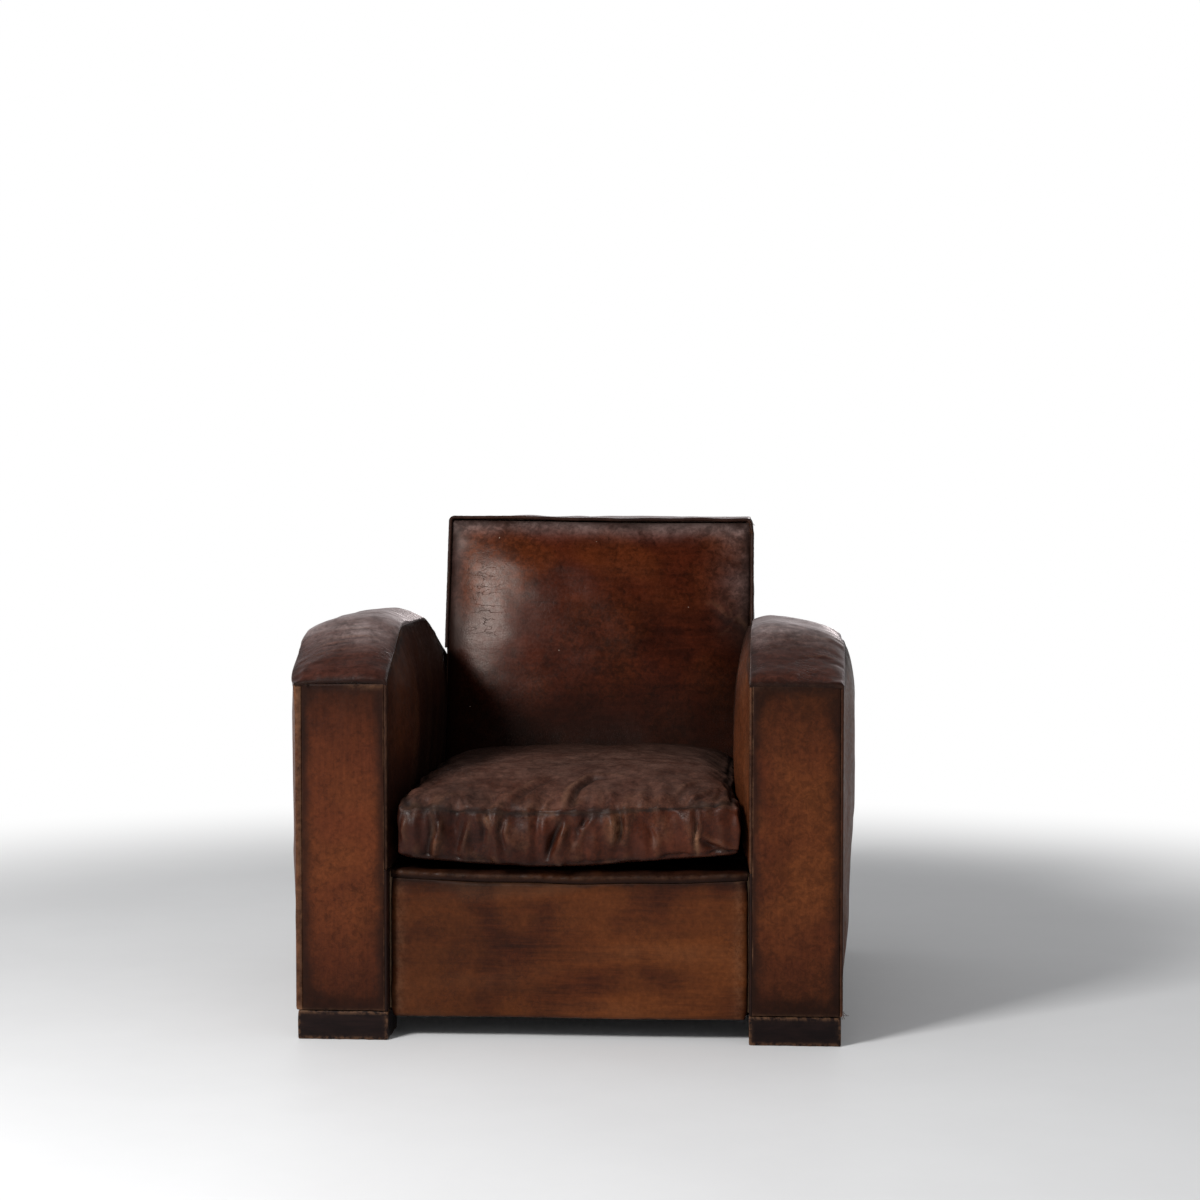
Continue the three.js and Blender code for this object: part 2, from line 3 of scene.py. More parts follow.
import bmesh
import bpy
import numpy as np
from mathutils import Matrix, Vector


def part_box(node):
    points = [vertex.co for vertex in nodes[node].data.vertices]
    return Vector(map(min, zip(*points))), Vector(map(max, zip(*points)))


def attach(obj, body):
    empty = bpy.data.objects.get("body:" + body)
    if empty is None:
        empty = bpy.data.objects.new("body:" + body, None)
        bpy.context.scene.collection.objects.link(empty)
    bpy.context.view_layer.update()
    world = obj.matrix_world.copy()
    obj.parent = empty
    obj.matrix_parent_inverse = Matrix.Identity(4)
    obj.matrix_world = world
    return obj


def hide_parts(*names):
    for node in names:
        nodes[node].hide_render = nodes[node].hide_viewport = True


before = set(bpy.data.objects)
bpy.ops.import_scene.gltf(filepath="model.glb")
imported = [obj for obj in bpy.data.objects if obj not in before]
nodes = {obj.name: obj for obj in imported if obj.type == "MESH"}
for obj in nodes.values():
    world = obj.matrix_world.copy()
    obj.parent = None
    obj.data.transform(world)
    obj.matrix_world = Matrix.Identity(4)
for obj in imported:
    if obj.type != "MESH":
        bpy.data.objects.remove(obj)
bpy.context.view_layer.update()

scene = bpy.context.scene
# The shapes below count y back from the arm fronts; makeMesh moves them into the part's frame.
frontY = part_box("arm_facing_right")[0].y
sides = {"right": 1, "left": -1}

body = {
    "armInner": 0.2655,
    "armOuter": 0.402,
    "armWidth": 0.1365,
    "armEndZ": 0.498,
    "boardTop": 0.529,
    "deck": 0.252,
    "onDeck": 0.2523,
    "foot": 0.043,
    "hem": 0.0435,
    "backHalf": 0.259,
    "backWidth": 0.518,
    "backTop": 0.765,
    "hide": 0.002,
    "hollow": 0.0018,  # the stuffing is close below, so no dent goes deeper
}


# shapes shared by the covers


def smooth(x, low, high):
    t = np.clip((x - low) / (high - low), 0, 1)
    return t * t * (3 - 2 * t)


def near(distance, width):
    return np.exp(-((distance / width) ** 2))


def spot(p, q, place, reach):
    return np.exp(-(((p - place[0]) / reach[0]) ** 2) - (((q - place[1]) / reach[1]) ** 2))


def softMin(a, b, r):
    return np.minimum(a, b) - np.maximum(r - np.abs(a - b), 0) ** 2 / (4 * r)


def backFaceY(z):
    return 0.56 + 0.14 * (z - body["deck"]) / 0.513


def rearFaceY(z):
    return 0.8 + 0.045 * (z - body["foot"]) / 0.722


armEndY = rearFaceY(body["armEndZ"])

# the two arms have worn to different shapes
armShape = {
    "right": {
        "height": 0.602,
        "crown": 0.017,
        "crest": 0.464,
        "innerRound": 2.6,
        "outerRound": 4.4,
        "drop": 0.0265,
        "capRun": 0.063,
        "seamOut": 0.007,
        "bulge": 0.022,
        "bulgeRun": 0.11,
    },
    "left": {
        "height": 0.605,
        "crown": 0.0195,
        "crest": 0.33,
        "innerRound": 1.7,
        "outerRound": 2.8,
        "drop": 0.0105,
        "capRun": 0.0175,
        "seamOut": 0.0125,
        "bulge": 0.016,
        "bulgeRun": 0.06,
    },
}


def frontRamp(y):
    return smooth(y, 0, 0.11)


def capRamp(y, side):
    return 1 - np.exp(-np.maximum(y, 0) / armShape[side]["capRun"])


def armSeamZ(y, side):
    height = armShape[side]["height"]
    front = body["boardTop"] + (height - body["boardTop"]) * y / 0.15
    rear = height - (height - body["armEndZ"]) * (y - 0.425) / 0.375
    return softMin(softMin(front, height, 0.014), rear, 0.014)


def armTopZ(y, u, side):
    shape = armShape[side]
    crest = shape["crest"]
    inner = 1 - np.clip(1 - u / crest, 0, 1) ** shape["innerRound"]
    outer = 1 - np.clip((u - crest) / (1 - crest), 0, 1) ** shape["outerRound"]
    rise = np.where(u < crest, inner, outer)
    return armSeamZ(y, side) + capRamp(y, side) * (shape["crown"] * rise - shape["drop"] * u)


def armOuterFace(y, v, side):
    given = armShape[side]
    shape = (1 - (1 - v) ** 2.2) * (1 - v**14)
    ramp = smooth(y, 0, given["bulgeRun"]) * smooth(0.8 - y, 0, 0.07)
    return body["armOuter"] + given["bulge"] * shape * ramp + given["seamOut"] * v**14 * capRamp(y, side)


def armInnerFace(y, v):
    shape = (1 - (1 - v) ** 4) * (1 - v**6)
    fade = 1 - 0.6 * smooth(y, 0.425, 0.63)
    return body["armInner"] - 0.027 * shape * frontRamp(y) * fade


# irregularity


def waves(seed, size, count=16):
    rng = np.random.default_rng(seed)
    ways = rng.normal(size=(count, 3))
    ways /= np.linalg.norm(ways, axis=1)[:, None]
    lengths = size * rng.uniform(0.6, 1.8, count)
    phases = rng.uniform(0, 6.28, count)

    def field(points):
        total = np.zeros(points.shape[:-1])
        for way, length, phase in zip(ways, lengths, phases):
            total += np.cos(points @ way * (6.283 / length) + phase)
        return total / math.sqrt(count / 2)

    return field


def gathers(along, off, seed, pitch, depth, reach):
    # small pleats that a seam draws up, fading away from it
    rng = np.random.default_rng(seed)
    total = np.zeros(along.shape)
    for n in range(5):
        wave = np.cos(along * 6.283 / (pitch * rng.uniform(0.6, 1.7)) + rng.uniform(0, 6.28))
        total += wave * rng.uniform(0.5, 1)
    swing = np.cos(along * 6.283 / (pitch * 7) + rng.uniform(0, 6.28)) * 0.4 + 0.7
    return depth * total / 1.8 * swing * (off / reach) * np.exp(1 - off / reach)


def crease(p, q, line, width, depth, ridge=0.6):
    # a valley with a raised lip on its left, along a line of points in the plane p, q
    line = np.array(line, float)
    lengths = np.linalg.norm(np.diff(line, axis=0), axis=1)
    total = lengths.sum()
    nearest = np.full(p.shape, 1e9)
    across = np.zeros(p.shape)
    run = np.zeros(p.shape)
    start = 0.0
    for (a, b), length in zip(zip(line[:-1], line[1:]), lengths):
        way = (b - a) / length
        t = np.clip((p - a[0]) * way[0] + (q - a[1]) * way[1], 0, length)
        dp = p - a[0] - way[0] * t
        dq = q - a[1] - way[1] * t
        gap = np.hypot(dp, dq)
        side = way[0] * dq - way[1] * dp
        closer = gap < nearest
        nearest = np.where(closer, gap, nearest)
        across = np.where(closer, np.sign(side) * gap, across)
        run = np.where(closer, (start + t) / total, run)
        start += length
    fade = np.clip(np.sin(np.pi * np.clip(run * 0.92 + 0.04, 0, 1)), 0, 1) ** 0.6
    valley = near(nearest, width)
    lip = near(across - 1.7 * width, 1.1 * width) * (nearest < 6 * width)
    return fade * (ridge * lip - valley) * depth


# meshes


def stations(length, step):
    # places along a side, closer together at both ends, where the leather rolls into its seams
    edge = (0, 0.0006, 0.0014, 0.0024, 0.0036, 0.0052, 0.0075)
    inner = np.linspace(edge[-1], length - edge[-1], max(3, int((length - 2 * edge[-1]) / step) + 2))
    return np.concatenate([edge[:-1], inner, length - np.array(edge[:-1])[::-1]]) / length


def grid(wide, high, step, highStep=None):
    # shares across and up a cover
    return np.meshgrid(stations(wide, step), stations(high, highStep or step))


def placed(name, data):
    made = bpy.data.objects.new(name, data)
    scene.collection.objects.link(made)
    return made


def marked(mesh, values):
    for key, value in values.items():
        layer = mesh.attributes.new(key, "FLOAT", "POINT")
        layer.data.foreach_set("value", value.astype(np.float32))


def makeMesh(name, points, faces, values):
    points = np.array(points, float).reshape(-1, 3) + (0, frontY, 0)
    faces = np.array(faces)
    used, faces = np.unique(faces, return_inverse=True)
    faces = faces.reshape(-1, 4)
    points = points[used]
    a, b, c, d = (points[faces[:, n]] for n in range(4))
    volume = np.einsum("ij,ij->", a, np.cross(b, c)) + np.einsum("ij,ij->", a, np.cross(c, d))
    if volume < 0:
        faces = faces[:, ::-1]
    mesh = bpy.data.meshes.new(name)
    mesh.from_pydata(points.tolist(), [], faces.tolist())
    marked(mesh, {key: value[used] for key, value in values.items()})
    mesh.shade_smooth()
    mesh.set_sharp_from_angle(angle=math.radians(48))
    return placed(name, mesh)


def closedSheet(name, outer, inner, values, keep=None):
    rows, columns = outer.shape[:2]
    count = rows * columns
    at = np.arange(count).reshape(rows, columns)
    quads = np.stack([at[:-1, :-1], at[1:, :-1], at[1:, 1:], at[:-1, 1:]], -1).reshape(-1, 4)
    if keep is not None:
        quads = quads[keep.reshape(-1)]
    starts = quads.reshape(-1)
    ends = np.roll(quads, -1, 1).reshape(-1)
    free = ~np.isin(starts * count + ends, ends * count + starts)
    u, v = starts[free], ends[free]
    rim = np.stack([v, u, u + count, v + count], -1)
    faces = np.concatenate([quads, quads[:, ::-1] + count, rim])
    points = np.concatenate([outer.reshape(-1, 3), inner.reshape(-1, 3)])
    both = {key: np.concatenate([np.ravel(value)] * 2) for key, value in values.items()}
    return makeMesh(name, points, faces, both)


def gridNormals(points, outward):
    normals = np.cross(np.gradient(points, axis=0), np.gradient(points, axis=1))
    normals /= np.linalg.norm(normals, axis=-1)[..., None] + 1e-12
    if (normals @ np.array(outward, float)).mean() < 0:
        normals = -normals
    return normals


def gridRuns(points):
    # the way from each of the four edges of a grid of points
    down = np.zeros(points.shape[:2])
    down[1:] = np.cumsum(np.linalg.norm(np.diff(points, axis=0), axis=-1), 0)
    over = np.zeros(points.shape[:2])
    over[:, 1:] = np.cumsum(np.linalg.norm(np.diff(points, axis=1), axis=-1), 1)
    return down, down[-1:] - down, over, over[:, -1:] - over


def cover(name, points, outward, look, seams=(1, 1, 1, 1), relief=None, under=None):
    # a hide panel: rolled into its seams, with its relief, and closed underneath
    normals = gridNormals(points, outward)
    runs = gridRuns(points)
    seam = np.full(points.shape[:2], 0.5)
    sink = np.zeros(points.shape[:2])
    depth, radius = look["roll"]
    for run, wanted in zip(runs, seams):
        if wanted:
            seam = np.minimum(seam, run)
            t = np.clip(1 - run / radius, 0, 1)
            sink = np.maximum(sink, wanted * depth * (1 - np.sqrt(1 - t * t)))
    marks = {}
    rise = np.zeros(points.shape[:2])
    if relief:
        rise, marks = relief(points, runs, seam)
        hollow = body["hollow"]
        rise = np.where(rise < 0, -hollow * (1 - np.exp(rise / hollow)), rise)
    calm = smooth(seam, 0, 0.005)
    outer = points + normals * (rise * calm - sink)[..., None]
    deep = under if under is not None else np.minimum(-body["hide"], rise * calm - sink - 0.0012)
    inner = points + normals * np.broadcast_to(deep, sink.shape)[..., None]
    return closedSheet(name, outer, inner, {"seam": seam, **marks})


def finished(piece, material, slot, *replaced):
    piece.data.materials.clear()
    piece.data.materials.append(material)
    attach(piece, "root")
    if replaced:
        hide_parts(*replaced)
    return piece


# shader pieces


def put(tree, kind, inputs=None, **settings):
    made = tree.nodes.new(kind)
    for key, value in settings.items():
        setattr(made, key, value)
    for key, value in (inputs or {}).items():
        socket = made.inputs[key]
        if isinstance(value, bpy.types.NodeSocket):
            tree.links.new(value, socket)
        else:
            socket.default_value = value
    return made


def first(tree, kind, inputs=None, **settings):
    return put(tree, kind, inputs, **settings).outputs[0]


def noise(tree, where, scale, detail=4, rough=0.55, bend=0.0):
    inputs = {"Vector": where, "Scale": scale, "Detail": detail, "Roughness": rough, "Distortion": bend}
    return put(tree, "ShaderNodeTexNoise", inputs).outputs["Fac"]


def cells(tree, where, scale, feature="F1"):
    inputs = {"Vector": where, "Scale": scale}
    return put(tree, "ShaderNodeTexVoronoi", inputs, feature=feature).outputs["Distance"]


def calc(tree, operation, a, b=0.0, c=0.0, clamp=False):
    return first(tree, "ShaderNodeMath", {0: a, 1: b, 2: c}, operation=operation, use_clamp=clamp)


def times(tree, a, b, clamp=False):
    return calc(tree, "MULTIPLY", a, b, clamp=clamp)


def mapped(tree, where, **inputs):
    return first(tree, "ShaderNodeMapping", {"Vector": where, **inputs})


def ranged(tree, value, low, high, start=0.0, end=1.0, soft=False):
    kind = "SMOOTHSTEP" if soft else "LINEAR"
    inputs = {"Value": value, "From Min": low, "From Max": high, "To Min": start, "To Max": end}
    return put(tree, "ShaderNodeMapRange", inputs, interpolation_type=kind).outputs["Result"]


def mixed(tree, share, a, b):
    return first(tree, "ShaderNodeMix", {0: share, 2: a, 3: b}, data_type="FLOAT")


def blended(tree, factor, a, b, blend="MIX"):
    a, b = ((*colour, 1.0) if isinstance(colour, tuple) else colour for colour in (a, b))
    made = put(tree, "ShaderNodeMix", {0: factor, 6: a, 7: b}, data_type="RGBA", blend_type=blend)
    return made.outputs[2]


def bumped(tree, height, distance, strength=1.0, under=None):
    inputs = {"Height": height, "Distance": distance, "Strength": strength}
    if under is not None:
        inputs["Normal"] = under
    return put(tree, "ShaderNodeBump", inputs).outputs["Normal"]


def startMaterial(name):
    material = bpy.data.materials.new(name)
    material.use_nodes = True
    tree = material.node_tree
    tree.nodes.clear()
    where = put(tree, "ShaderNodeTexCoord").outputs["Object"]
    return material, tree, where


def endMaterial(tree, colour, rough, normal, **constants):
    inputs = {"Base Color": colour, "Roughness": rough, "Normal": normal, **constants}
    put(tree, "ShaderNodeOutputMaterial", {"Surface": first(tree, "ShaderNodeBsdfPrincipled", inputs)})


def attribute(tree, name):
    return put(tree, "ShaderNodeAttribute", attribute_name=name).outputs["Fac"]


hide = {
    "deep": (0.022, 0.0085, 0.006),
    "body": (0.075, 0.024, 0.013),
    "warm": (0.15, 0.05, 0.018),
    "pale": (0.24, 0.12, 0.065),
    # the dark of seams, cracks and scored lines, and of painted shade in folds
    "stain": (0.011, 0.006, 0.005),
    # the colour of painted shade, with dirt
    "grimeColour": (0.007, 0.0025, 0.0015),
    # the grey of dust and painted sheen
    "grey": (0.1, 0.075, 0.065),
    "greyShare": 0.0,
    "mottle": 0.25,
    "warmShare": 0.5,
    "streak": (1, 1, 1),
    "streakShare": 0.3,
    "edgeWidth": 0.018,
    "edgeDark": 0.7,
    "edgePale": 0.12,
    "rough": 0.42,
    "roughSpread": 0.16,
    "crackle": 0.5,
    "crackleSize": 150,
    "specks": 0.0,
    "scored": 0.0,
    "grain": 0.35,
    "bumps": 0.35,
    "Specular IOR Level": 0.08,
}


def leather(name, **changes):
    look = {**hide, **changes}
    material, tree, where = startMaterial(name)
    broad = noise(tree, where, 4.5, 4, 0.6, 0.4)
    patch = noise(tree, mapped(tree, where, Location=(3, 7, 1)), 6, 5, 0.6)
    middle = noise(tree, where, 23, 6, 0.65)
    fine = noise(tree, where, 150, 4, 0.6)
    streaks = noise(tree, mapped(tree, where, Scale=look["streak"]), 30, 7, 0.7, 0.3)

    tone = calc(tree, "MULTIPLY_ADD", broad, 0.5, times(tree, middle, 0.5))
    level = ranged(tree, mixed(tree, look["streakShare"], tone, streaks), 0.36, 0.64, soft=True)
    colour = blended(tree, level, look["deep"], look["body"])
    warmth = times(tree, ranged(tree, patch, 0.42, 0.66, soft=True), look["warmShare"])
    colour = blended(tree, warmth, colour, look["warm"])
    # tan and painted light: marked places turn warmer, partly where the window lights them
    tannedAndLit = times(tree, attribute(tree, "tan_and_light"), ranged(tree, level, 0.0, 1.0, 0.45, 1.0))
    colour = blended(tree, tannedAndLit, colour, look["warm"])
    # dust and painted sheen: marked faces turn greyer where light glances off them
    dustAndSheenMask = times(tree, ranged(tree, middle, 0.25, 0.6), look["greyShare"])
    dustAndSheenMask = times(tree, dustAndSheenMask, attribute(tree, "dust_and_sheen"))
    colour = blended(tree, dustAndSheenMask, colour, look["grey"])
    spots = noise(tree, where, 85, 8, 0.75, 0.6)
    spots = times(tree, spots, ranged(tree, patch, 0.35, 0.6, 0.88, 1.12))
    mottle = ranged(tree, spots, 0.46, 0.62, 1.0, 1 - look["mottle"])
    colour = blended(tree, 1.0, colour, mottle, "MULTIPLY")
    colour = blended(tree, 1.0, colour, ranged(tree, fine, 0.3, 0.7, 0.8, 1.16), "MULTIPLY")

    # darker towards the seams, and rubbed pale right on them
    seam = attribute(tree, "seam")
    ragged = calc(tree, "MULTIPLY_ADD", calc(tree, "SUBTRACT", middle, 0.5), 0.03, seam)
    edge = ranged(tree, ragged, 0.0, look["edgeWidth"], look["edgeDark"], 0.0, soft=True)
    colour = blended(tree, edge, colour, look["stain"])
    line = ranged(tree, seam, 0.0006, 0.003, look["edgePale"], 0.0, soft=True)
    line = times(tree, line, ranged(tree, noise(tree, where, 60, 5, 0.7), 0.42, 0.6))
    colour = blended(tree, line, colour, look["pale"])

    # painted shade, with some dirt: darker where the covers mark it, in recesses, under the cushion and
    # where the arms shade the back
    dirt_and_shade = times(tree, attribute(tree, "dirt_and_shade"), ranged(tree, middle, 0.25, 0.6, 0.6, 1.0))
    colour = blended(tree, dirt_and_shade, colour, look["grimeColour"])

    # painted shade in the valleys of folds and creases, and a painted highlight on their ridges
    fold_light_and_shade = attribute(tree, "fold_light_and_shade")
    valley = times(tree, fold_light_and_shade, -1.0, clamp=True)
    colour = blended(tree, valley, colour, look["stain"])
    ridge = times(tree, calc(tree, "MAXIMUM", fold_light_and_shade, 0.0), ranged(tree, middle, 0.3, 0.6))
    colour = blended(tree, ridge, colour, look["pale"])
    # pale wear, and painted highlights along rolled edges and on fold ridges
    patchy = ranged(tree, noise(tree, where, 75, 6, 0.7), 0.36, 0.6)
    worn_and_lit = times(tree, attribute(tree, "wear_and_highlight"), patchy)
    colour = blended(tree, worn_and_lit, colour, look["pale"])

    # fine cracks, in patches
    shake = put(tree, "ShaderNodeTexNoise", {"Vector": where, "Scale": 90, "Detail": 3}).outputs["Color"]
    small = first(tree, "ShaderNodeVectorMath", {0: shake, "Scale": 0.006}, operation="SCALE")
    bent = first(tree, "ShaderNodeVectorMath", {0: where, 1: small}, operation="ADD")
    cracks = cells(tree, bent, look["crackleSize"], "DISTANCE_TO_EDGE")
    cracks = ranged(tree, cracks, 0.0, 0.07, 1.0, 0.0)
    dried = ranged(tree, noise(tree, where, 11, 4, 0.6), 0.45, 0.62, soft=True)
    cracks = times(tree, cracks, times(tree, dried, look["crackle"]))
    colour = blended(tree, times(tree, cracks, 0.6), colour, look["stain"])
    if look["scored"]:
        # thin dark lines slanting through the shine
        leant = mapped(tree, where, Rotation=(0, -0.75, 0), Scale=(0.22, 1, 1))
        lines = noise(tree, leant, 75, 2, 0.5, 0.2)
        lines = calc(tree, "ABSOLUTE", calc(tree, "SUBTRACT", lines, 0.5))
        lines = ranged(tree, lines, 0.0, 0.011, look["scored"], 0.0)
        lines = times(tree, lines, attribute(tree, "scored"))
        cracks = calc(tree, "MAXIMUM", cracks, lines)
        colour = blended(tree, lines, colour, look["stain"])
    if look["specks"]:
        dots = cells(tree, where, 34)
        dots = ranged(tree, dots, 0.022, 0.035, look["specks"], 0.0)
        some = ranged(tree, noise(tree, where, 13, 2), 0.55, 0.6)
        colour = blended(tree, times(tree, dots, some), colour, (0.5, 0.4, 0.32))

    grain = cells(tree, where, 620, "SMOOTH_F1")
    height = calc(tree, "MULTIPLY_ADD", grain, look["grain"], times(tree, fine, 0.5))
    height = calc(tree, "SUBTRACT", height, times(tree, cracks, 1.4))
    normal = bumped(tree, middle, 0.0009, look["bumps"])
    normal = bumped(tree, streaks, 0.0006, look["bumps"], normal)
    normal = bumped(tree, height, 0.0003, 0.6, normal)
    spread = look["roughSpread"]
    rough = ranged(tree, fine, 0.3, 0.7, look["rough"] - spread / 2, look["rough"] + spread / 2)
    matt = calc(tree, "ADD", calc(tree, "ADD", edge, cracks), attribute(tree, "dust_and_sheen"))
    rough = calc(tree, "ADD", rough, times(tree, matt, 0.12), clamp=True)
    constants = {key: value for key, value in look.items() if " " in key}
    endMaterial(tree, colour, rough, normal, **constants)
    return material


def timber(name, dark, light, rough=0.5, pale=None, **constants):
    material, tree, where = startMaterial(name)
    rings = noise(tree, mapped(tree, where, Scale=(0.25, 1, 1)), 46, 6, 0.7, 0.8)
    pores = noise(tree, mapped(tree, where, Scale=(0.06, 1, 1)), 420, 3)
    broad = noise(tree, where, 9, 4)
    colour = blended(tree, ranged(tree, rings, 0.35, 0.65), dark, light)
    colour = blended(tree, ranged(tree, pores, 0.5, 0.62, 0, 0.5), colour, dark)
    colour = blended(tree, ranged(tree, broad, 0.35, 0.7, 0, 0.4), colour, dark)
    if pale:
        patchy = ranged(tree, noise(tree, where, 110, 5, 0.7), 0.42, 0.56)
        worn = times(tree, attribute(tree, "wear_and_highlight"), patchy)
        colour = blended(tree, worn, colour, pale)
    spread = ranged(tree, rings, 0.3, 0.7, rough - 0.08, rough + 0.1)
    normal = bumped(tree, rings, 0.0005, 0.6)
    normal = bumped(tree, pores, 0.0002, 0.8, normal)
    endMaterial(tree, colour, spread, normal, **constants)
    return material


def woven(name, dark, light, pitch):
    # threads over and under, on a rule so wide that it shows on every side of a flat piece
    material, tree, where = startMaterial(name)
    axes = put(tree, "ShaderNodeSeparateXYZ", {0: where}).outputs
    bend = times(tree, noise(tree, where, 40, 3), pitch * 1.2)
    runs = []
    for axis in (0, 1):
        place = times(tree, calc(tree, "ADD", axes[axis], bend), math.pi / pitch)
        runs.append(calc(tree, "SINE", place))
    over, under = (calc(tree, "ABSOLUTE", run) for run in runs)
    pick = ranged(tree, times(tree, *runs), -0.08, 0.08)
    weave = mixed(tree, pick, over, under)
    hairs = noise(tree, where, 900, 4, 0.7)
    tone = times(tree, calc(tree, "ADD", weave, hairs), 0.5)
    colour = blended(tree, ranged(tree, tone, 0.25, 0.8), dark, light)
    stain = noise(tree, where, 12, 4)
    colour = blended(tree, ranged(tree, stain, 0.45, 0.7, 0, 0.5), colour, dark)
    normal = bumped(tree, tone, pitch * 0.3, 0.8)
    endMaterial(tree, colour, ranged(tree, hairs, 0.3, 0.7, 0.84, 0.96), normal)
    return material


def fibres(name, dark, light):
    material, tree, where = startMaterial(name)
    hair = noise(tree, where, 260, 8, 0.8, 2.5)
    tufts = noise(tree, where, 34, 5)
    colour = blended(tree, ranged(tree, hair, 0.35, 0.65), dark, light)
    colour = blended(tree, ranged(tree, tufts, 0.4, 0.7, 0, 0.6), colour, dark)
    normal = bumped(tree, hair, 0.0015, 0.9)
    endMaterial(tree, colour, ranged(tree, hair, 0.3, 0.7, 0.85, 1.0), normal)
    return material


def steel(name):
    material, tree, where = startMaterial(name)
    rust = noise(tree, where, 120, 6, 0.7)
    spots = ranged(tree, rust, 0.45, 0.6)
    colour = blended(tree, spots, (0.3, 0.26, 0.22), (0.13, 0.05, 0.025))
    normal = bumped(tree, rust, 0.0003, 0.6)
    endMaterial(tree, colour, ranged(tree, rust, 0.4, 0.6, 0.38, 0.8), normal, Metallic=0.85)
    return material


facingLeather = leather(
    "facing_leather",
    deep=(0.046, 0.0112, 0.0045),
    body=(0.09, 0.0218, 0.0075),
    warm=(0.13, 0.037, 0.0105),
    mottle=0.35,
    warmShare=0.5,
    streak=(6, 1, 0.5),
    edgeWidth=0.02,
    edgeDark=0.5,
    specks=0.5,
    crackle=0.35,
    rough=0.44,
)
armTopLeather = leather(
    "arm_top_leather",
    deep=(0.021, 0.0062, 0.0042),
    body=(0.056, 0.0165, 0.0105),
    warm=(0.075, 0.021, 0.0105),
    warmShare=0.3,
    # grey of dust and painted sheen on the crests
    grey=(0.3, 0.24, 0.235),
    greyShare=0.8,
    mottle=0.4,
    streak=(0.5, 5, 2),
    streakShare=0.5,
    edgeWidth=0.012,
    edgeDark=0.55,
    rough=0.5,
    crackle=0.7,
    **{"Sheen Weight": 0.7, "Sheen Roughness": 0.3, "Sheen Tint": (1, 0.9, 0.92, 1)},
)
armSideLeather = leather(
    "arm_side_leather",
    deep=(0.019, 0.0055, 0.003),
    body=(0.05, 0.0135, 0.006),
    warm=(0.1, 0.028, 0.009),
    streak=(1, 5, 0.6),
    edgeWidth=0.02,
    rough=0.46,
)
backLeather = leather(
    "back_leather",
    deep=(0.02, 0.0032, 0.001),
    body=(0.064, 0.0105, 0.003),
    warm=(0.115, 0.026, 0.0055),
    # grey of painted reflection and dust on the back's edges
    grey=(0.3, 0.21, 0.195),
    greyShare=0.9,
    warmShare=0.3,
    edgeWidth=0.035,
    edgeDark=0.75,
    specks=0.8,
    scored=0.6,
    crackle=0.12,
    rough=0.27,
    roughSpread=0.06,
    bumps=0.1,
    mottle=0.5,
    streak=(0.35, 1, 3),
    **{"Specular IOR Level": 0.125, "Specular Tint": (1, 0.84, 0.78, 1)},
)
apronLeather = leather(
    "apron_leather",
    deep=(0.024, 0.007, 0.0035),
    body=(0.058, 0.0135, 0.0048),
    warm=(0.122, 0.0345, 0.009),
    warmShare=0.7,
    streak=(0.3, 1, 4),
    streakShare=0.75,
    mottle=0.12,
    edgeWidth=0.008,
    rough=0.42,
)
seatLeather = leather(
    "seat_leather",
    deep=(0.0135, 0.0038, 0.0024),
    body=(0.038, 0.0096, 0.0054),
    warm=(0.08, 0.0185, 0.0072),
    warmShare=0.45,
    # grey of dust and painted sheen on the top
    grey=(0.165, 0.09, 0.068),
    greyShare=0.6,
    mottle=0.35,
    edgeWidth=0.006,
    edgeDark=0.6,
    crackle=0.7,
    rough=0.42,
    bumps=0.5,
    **{"Specular IOR Level": 0.12},
)
# the same hide as the facings, painted dark as the shade in the gap beside the apron
returnShadeLeather = leather(
    "return_leather_painted_shade",
    deep=(0.012, 0.005, 0.004),
    body=(0.035, 0.011, 0.006),
    warm=(0.05, 0.015, 0.007),
    edgePale=0.0,
)
pipingLeather = leather(
    "piping_leather",
    deep=(0.012, 0.006, 0.005),
    body=(0.03, 0.012, 0.008),
    warm=(0.05, 0.02, 0.012),
    edgeDark=0.0,
    edgePale=0.0,
    crackle=0.9,
    crackleSize=300,
)
thread = leather(
    "waxed_thread",
    deep=(0.012, 0.007, 0.006),
    body=(0.03, 0.018, 0.014),
    edgeDark=0.0,
    edgePale=0.0,
)
footWood = timber(
    "stained_wood",
    (0.005, 0.0026, 0.0027),
    (0.0135, 0.0062, 0.0056),
    0.42,
    pale=(0.11, 0.055, 0.03),
    **{"Specular IOR Level": 0.1},
)
beech = timber("frame_timber", (0.2, 0.11, 0.055), (0.34, 0.21, 0.115), 0.6)
jute = woven("jute_webbing", (0.11, 0.07, 0.035), (0.34, 0.24, 0.14), 0.0022)
hessian = woven("hessian", (0.09, 0.06, 0.035), (0.3, 0.21, 0.12), 0.0016)
blackCloth = woven("dust_cloth", (0.008, 0.008, 0.009), (0.035, 0.034, 0.036), 0.0011)
ticking = woven("platform_cloth", (0.016, 0.009, 0.007), (0.06, 0.033, 0.024), 0.0013)
stuffing = fibres("hair_stuffing", (0.03, 0.018, 0.012), (0.15, 0.1, 0.065))
wire = steel("spring_wire")
print("materials made")


# arms

arm = {
    "step": 0.0034,
    "roll": (0.0022, 0.006),
    "cornerRadius": 0.0035,
    "wrap": {"right": 0.0045, "left": 0.0098},  # how far the outer cover shows on the front
    "waves": 0.0011,
    "gatherDepth": 0.0005,
    "creases": 22,  # across each arm top
    "seed": 11,
}


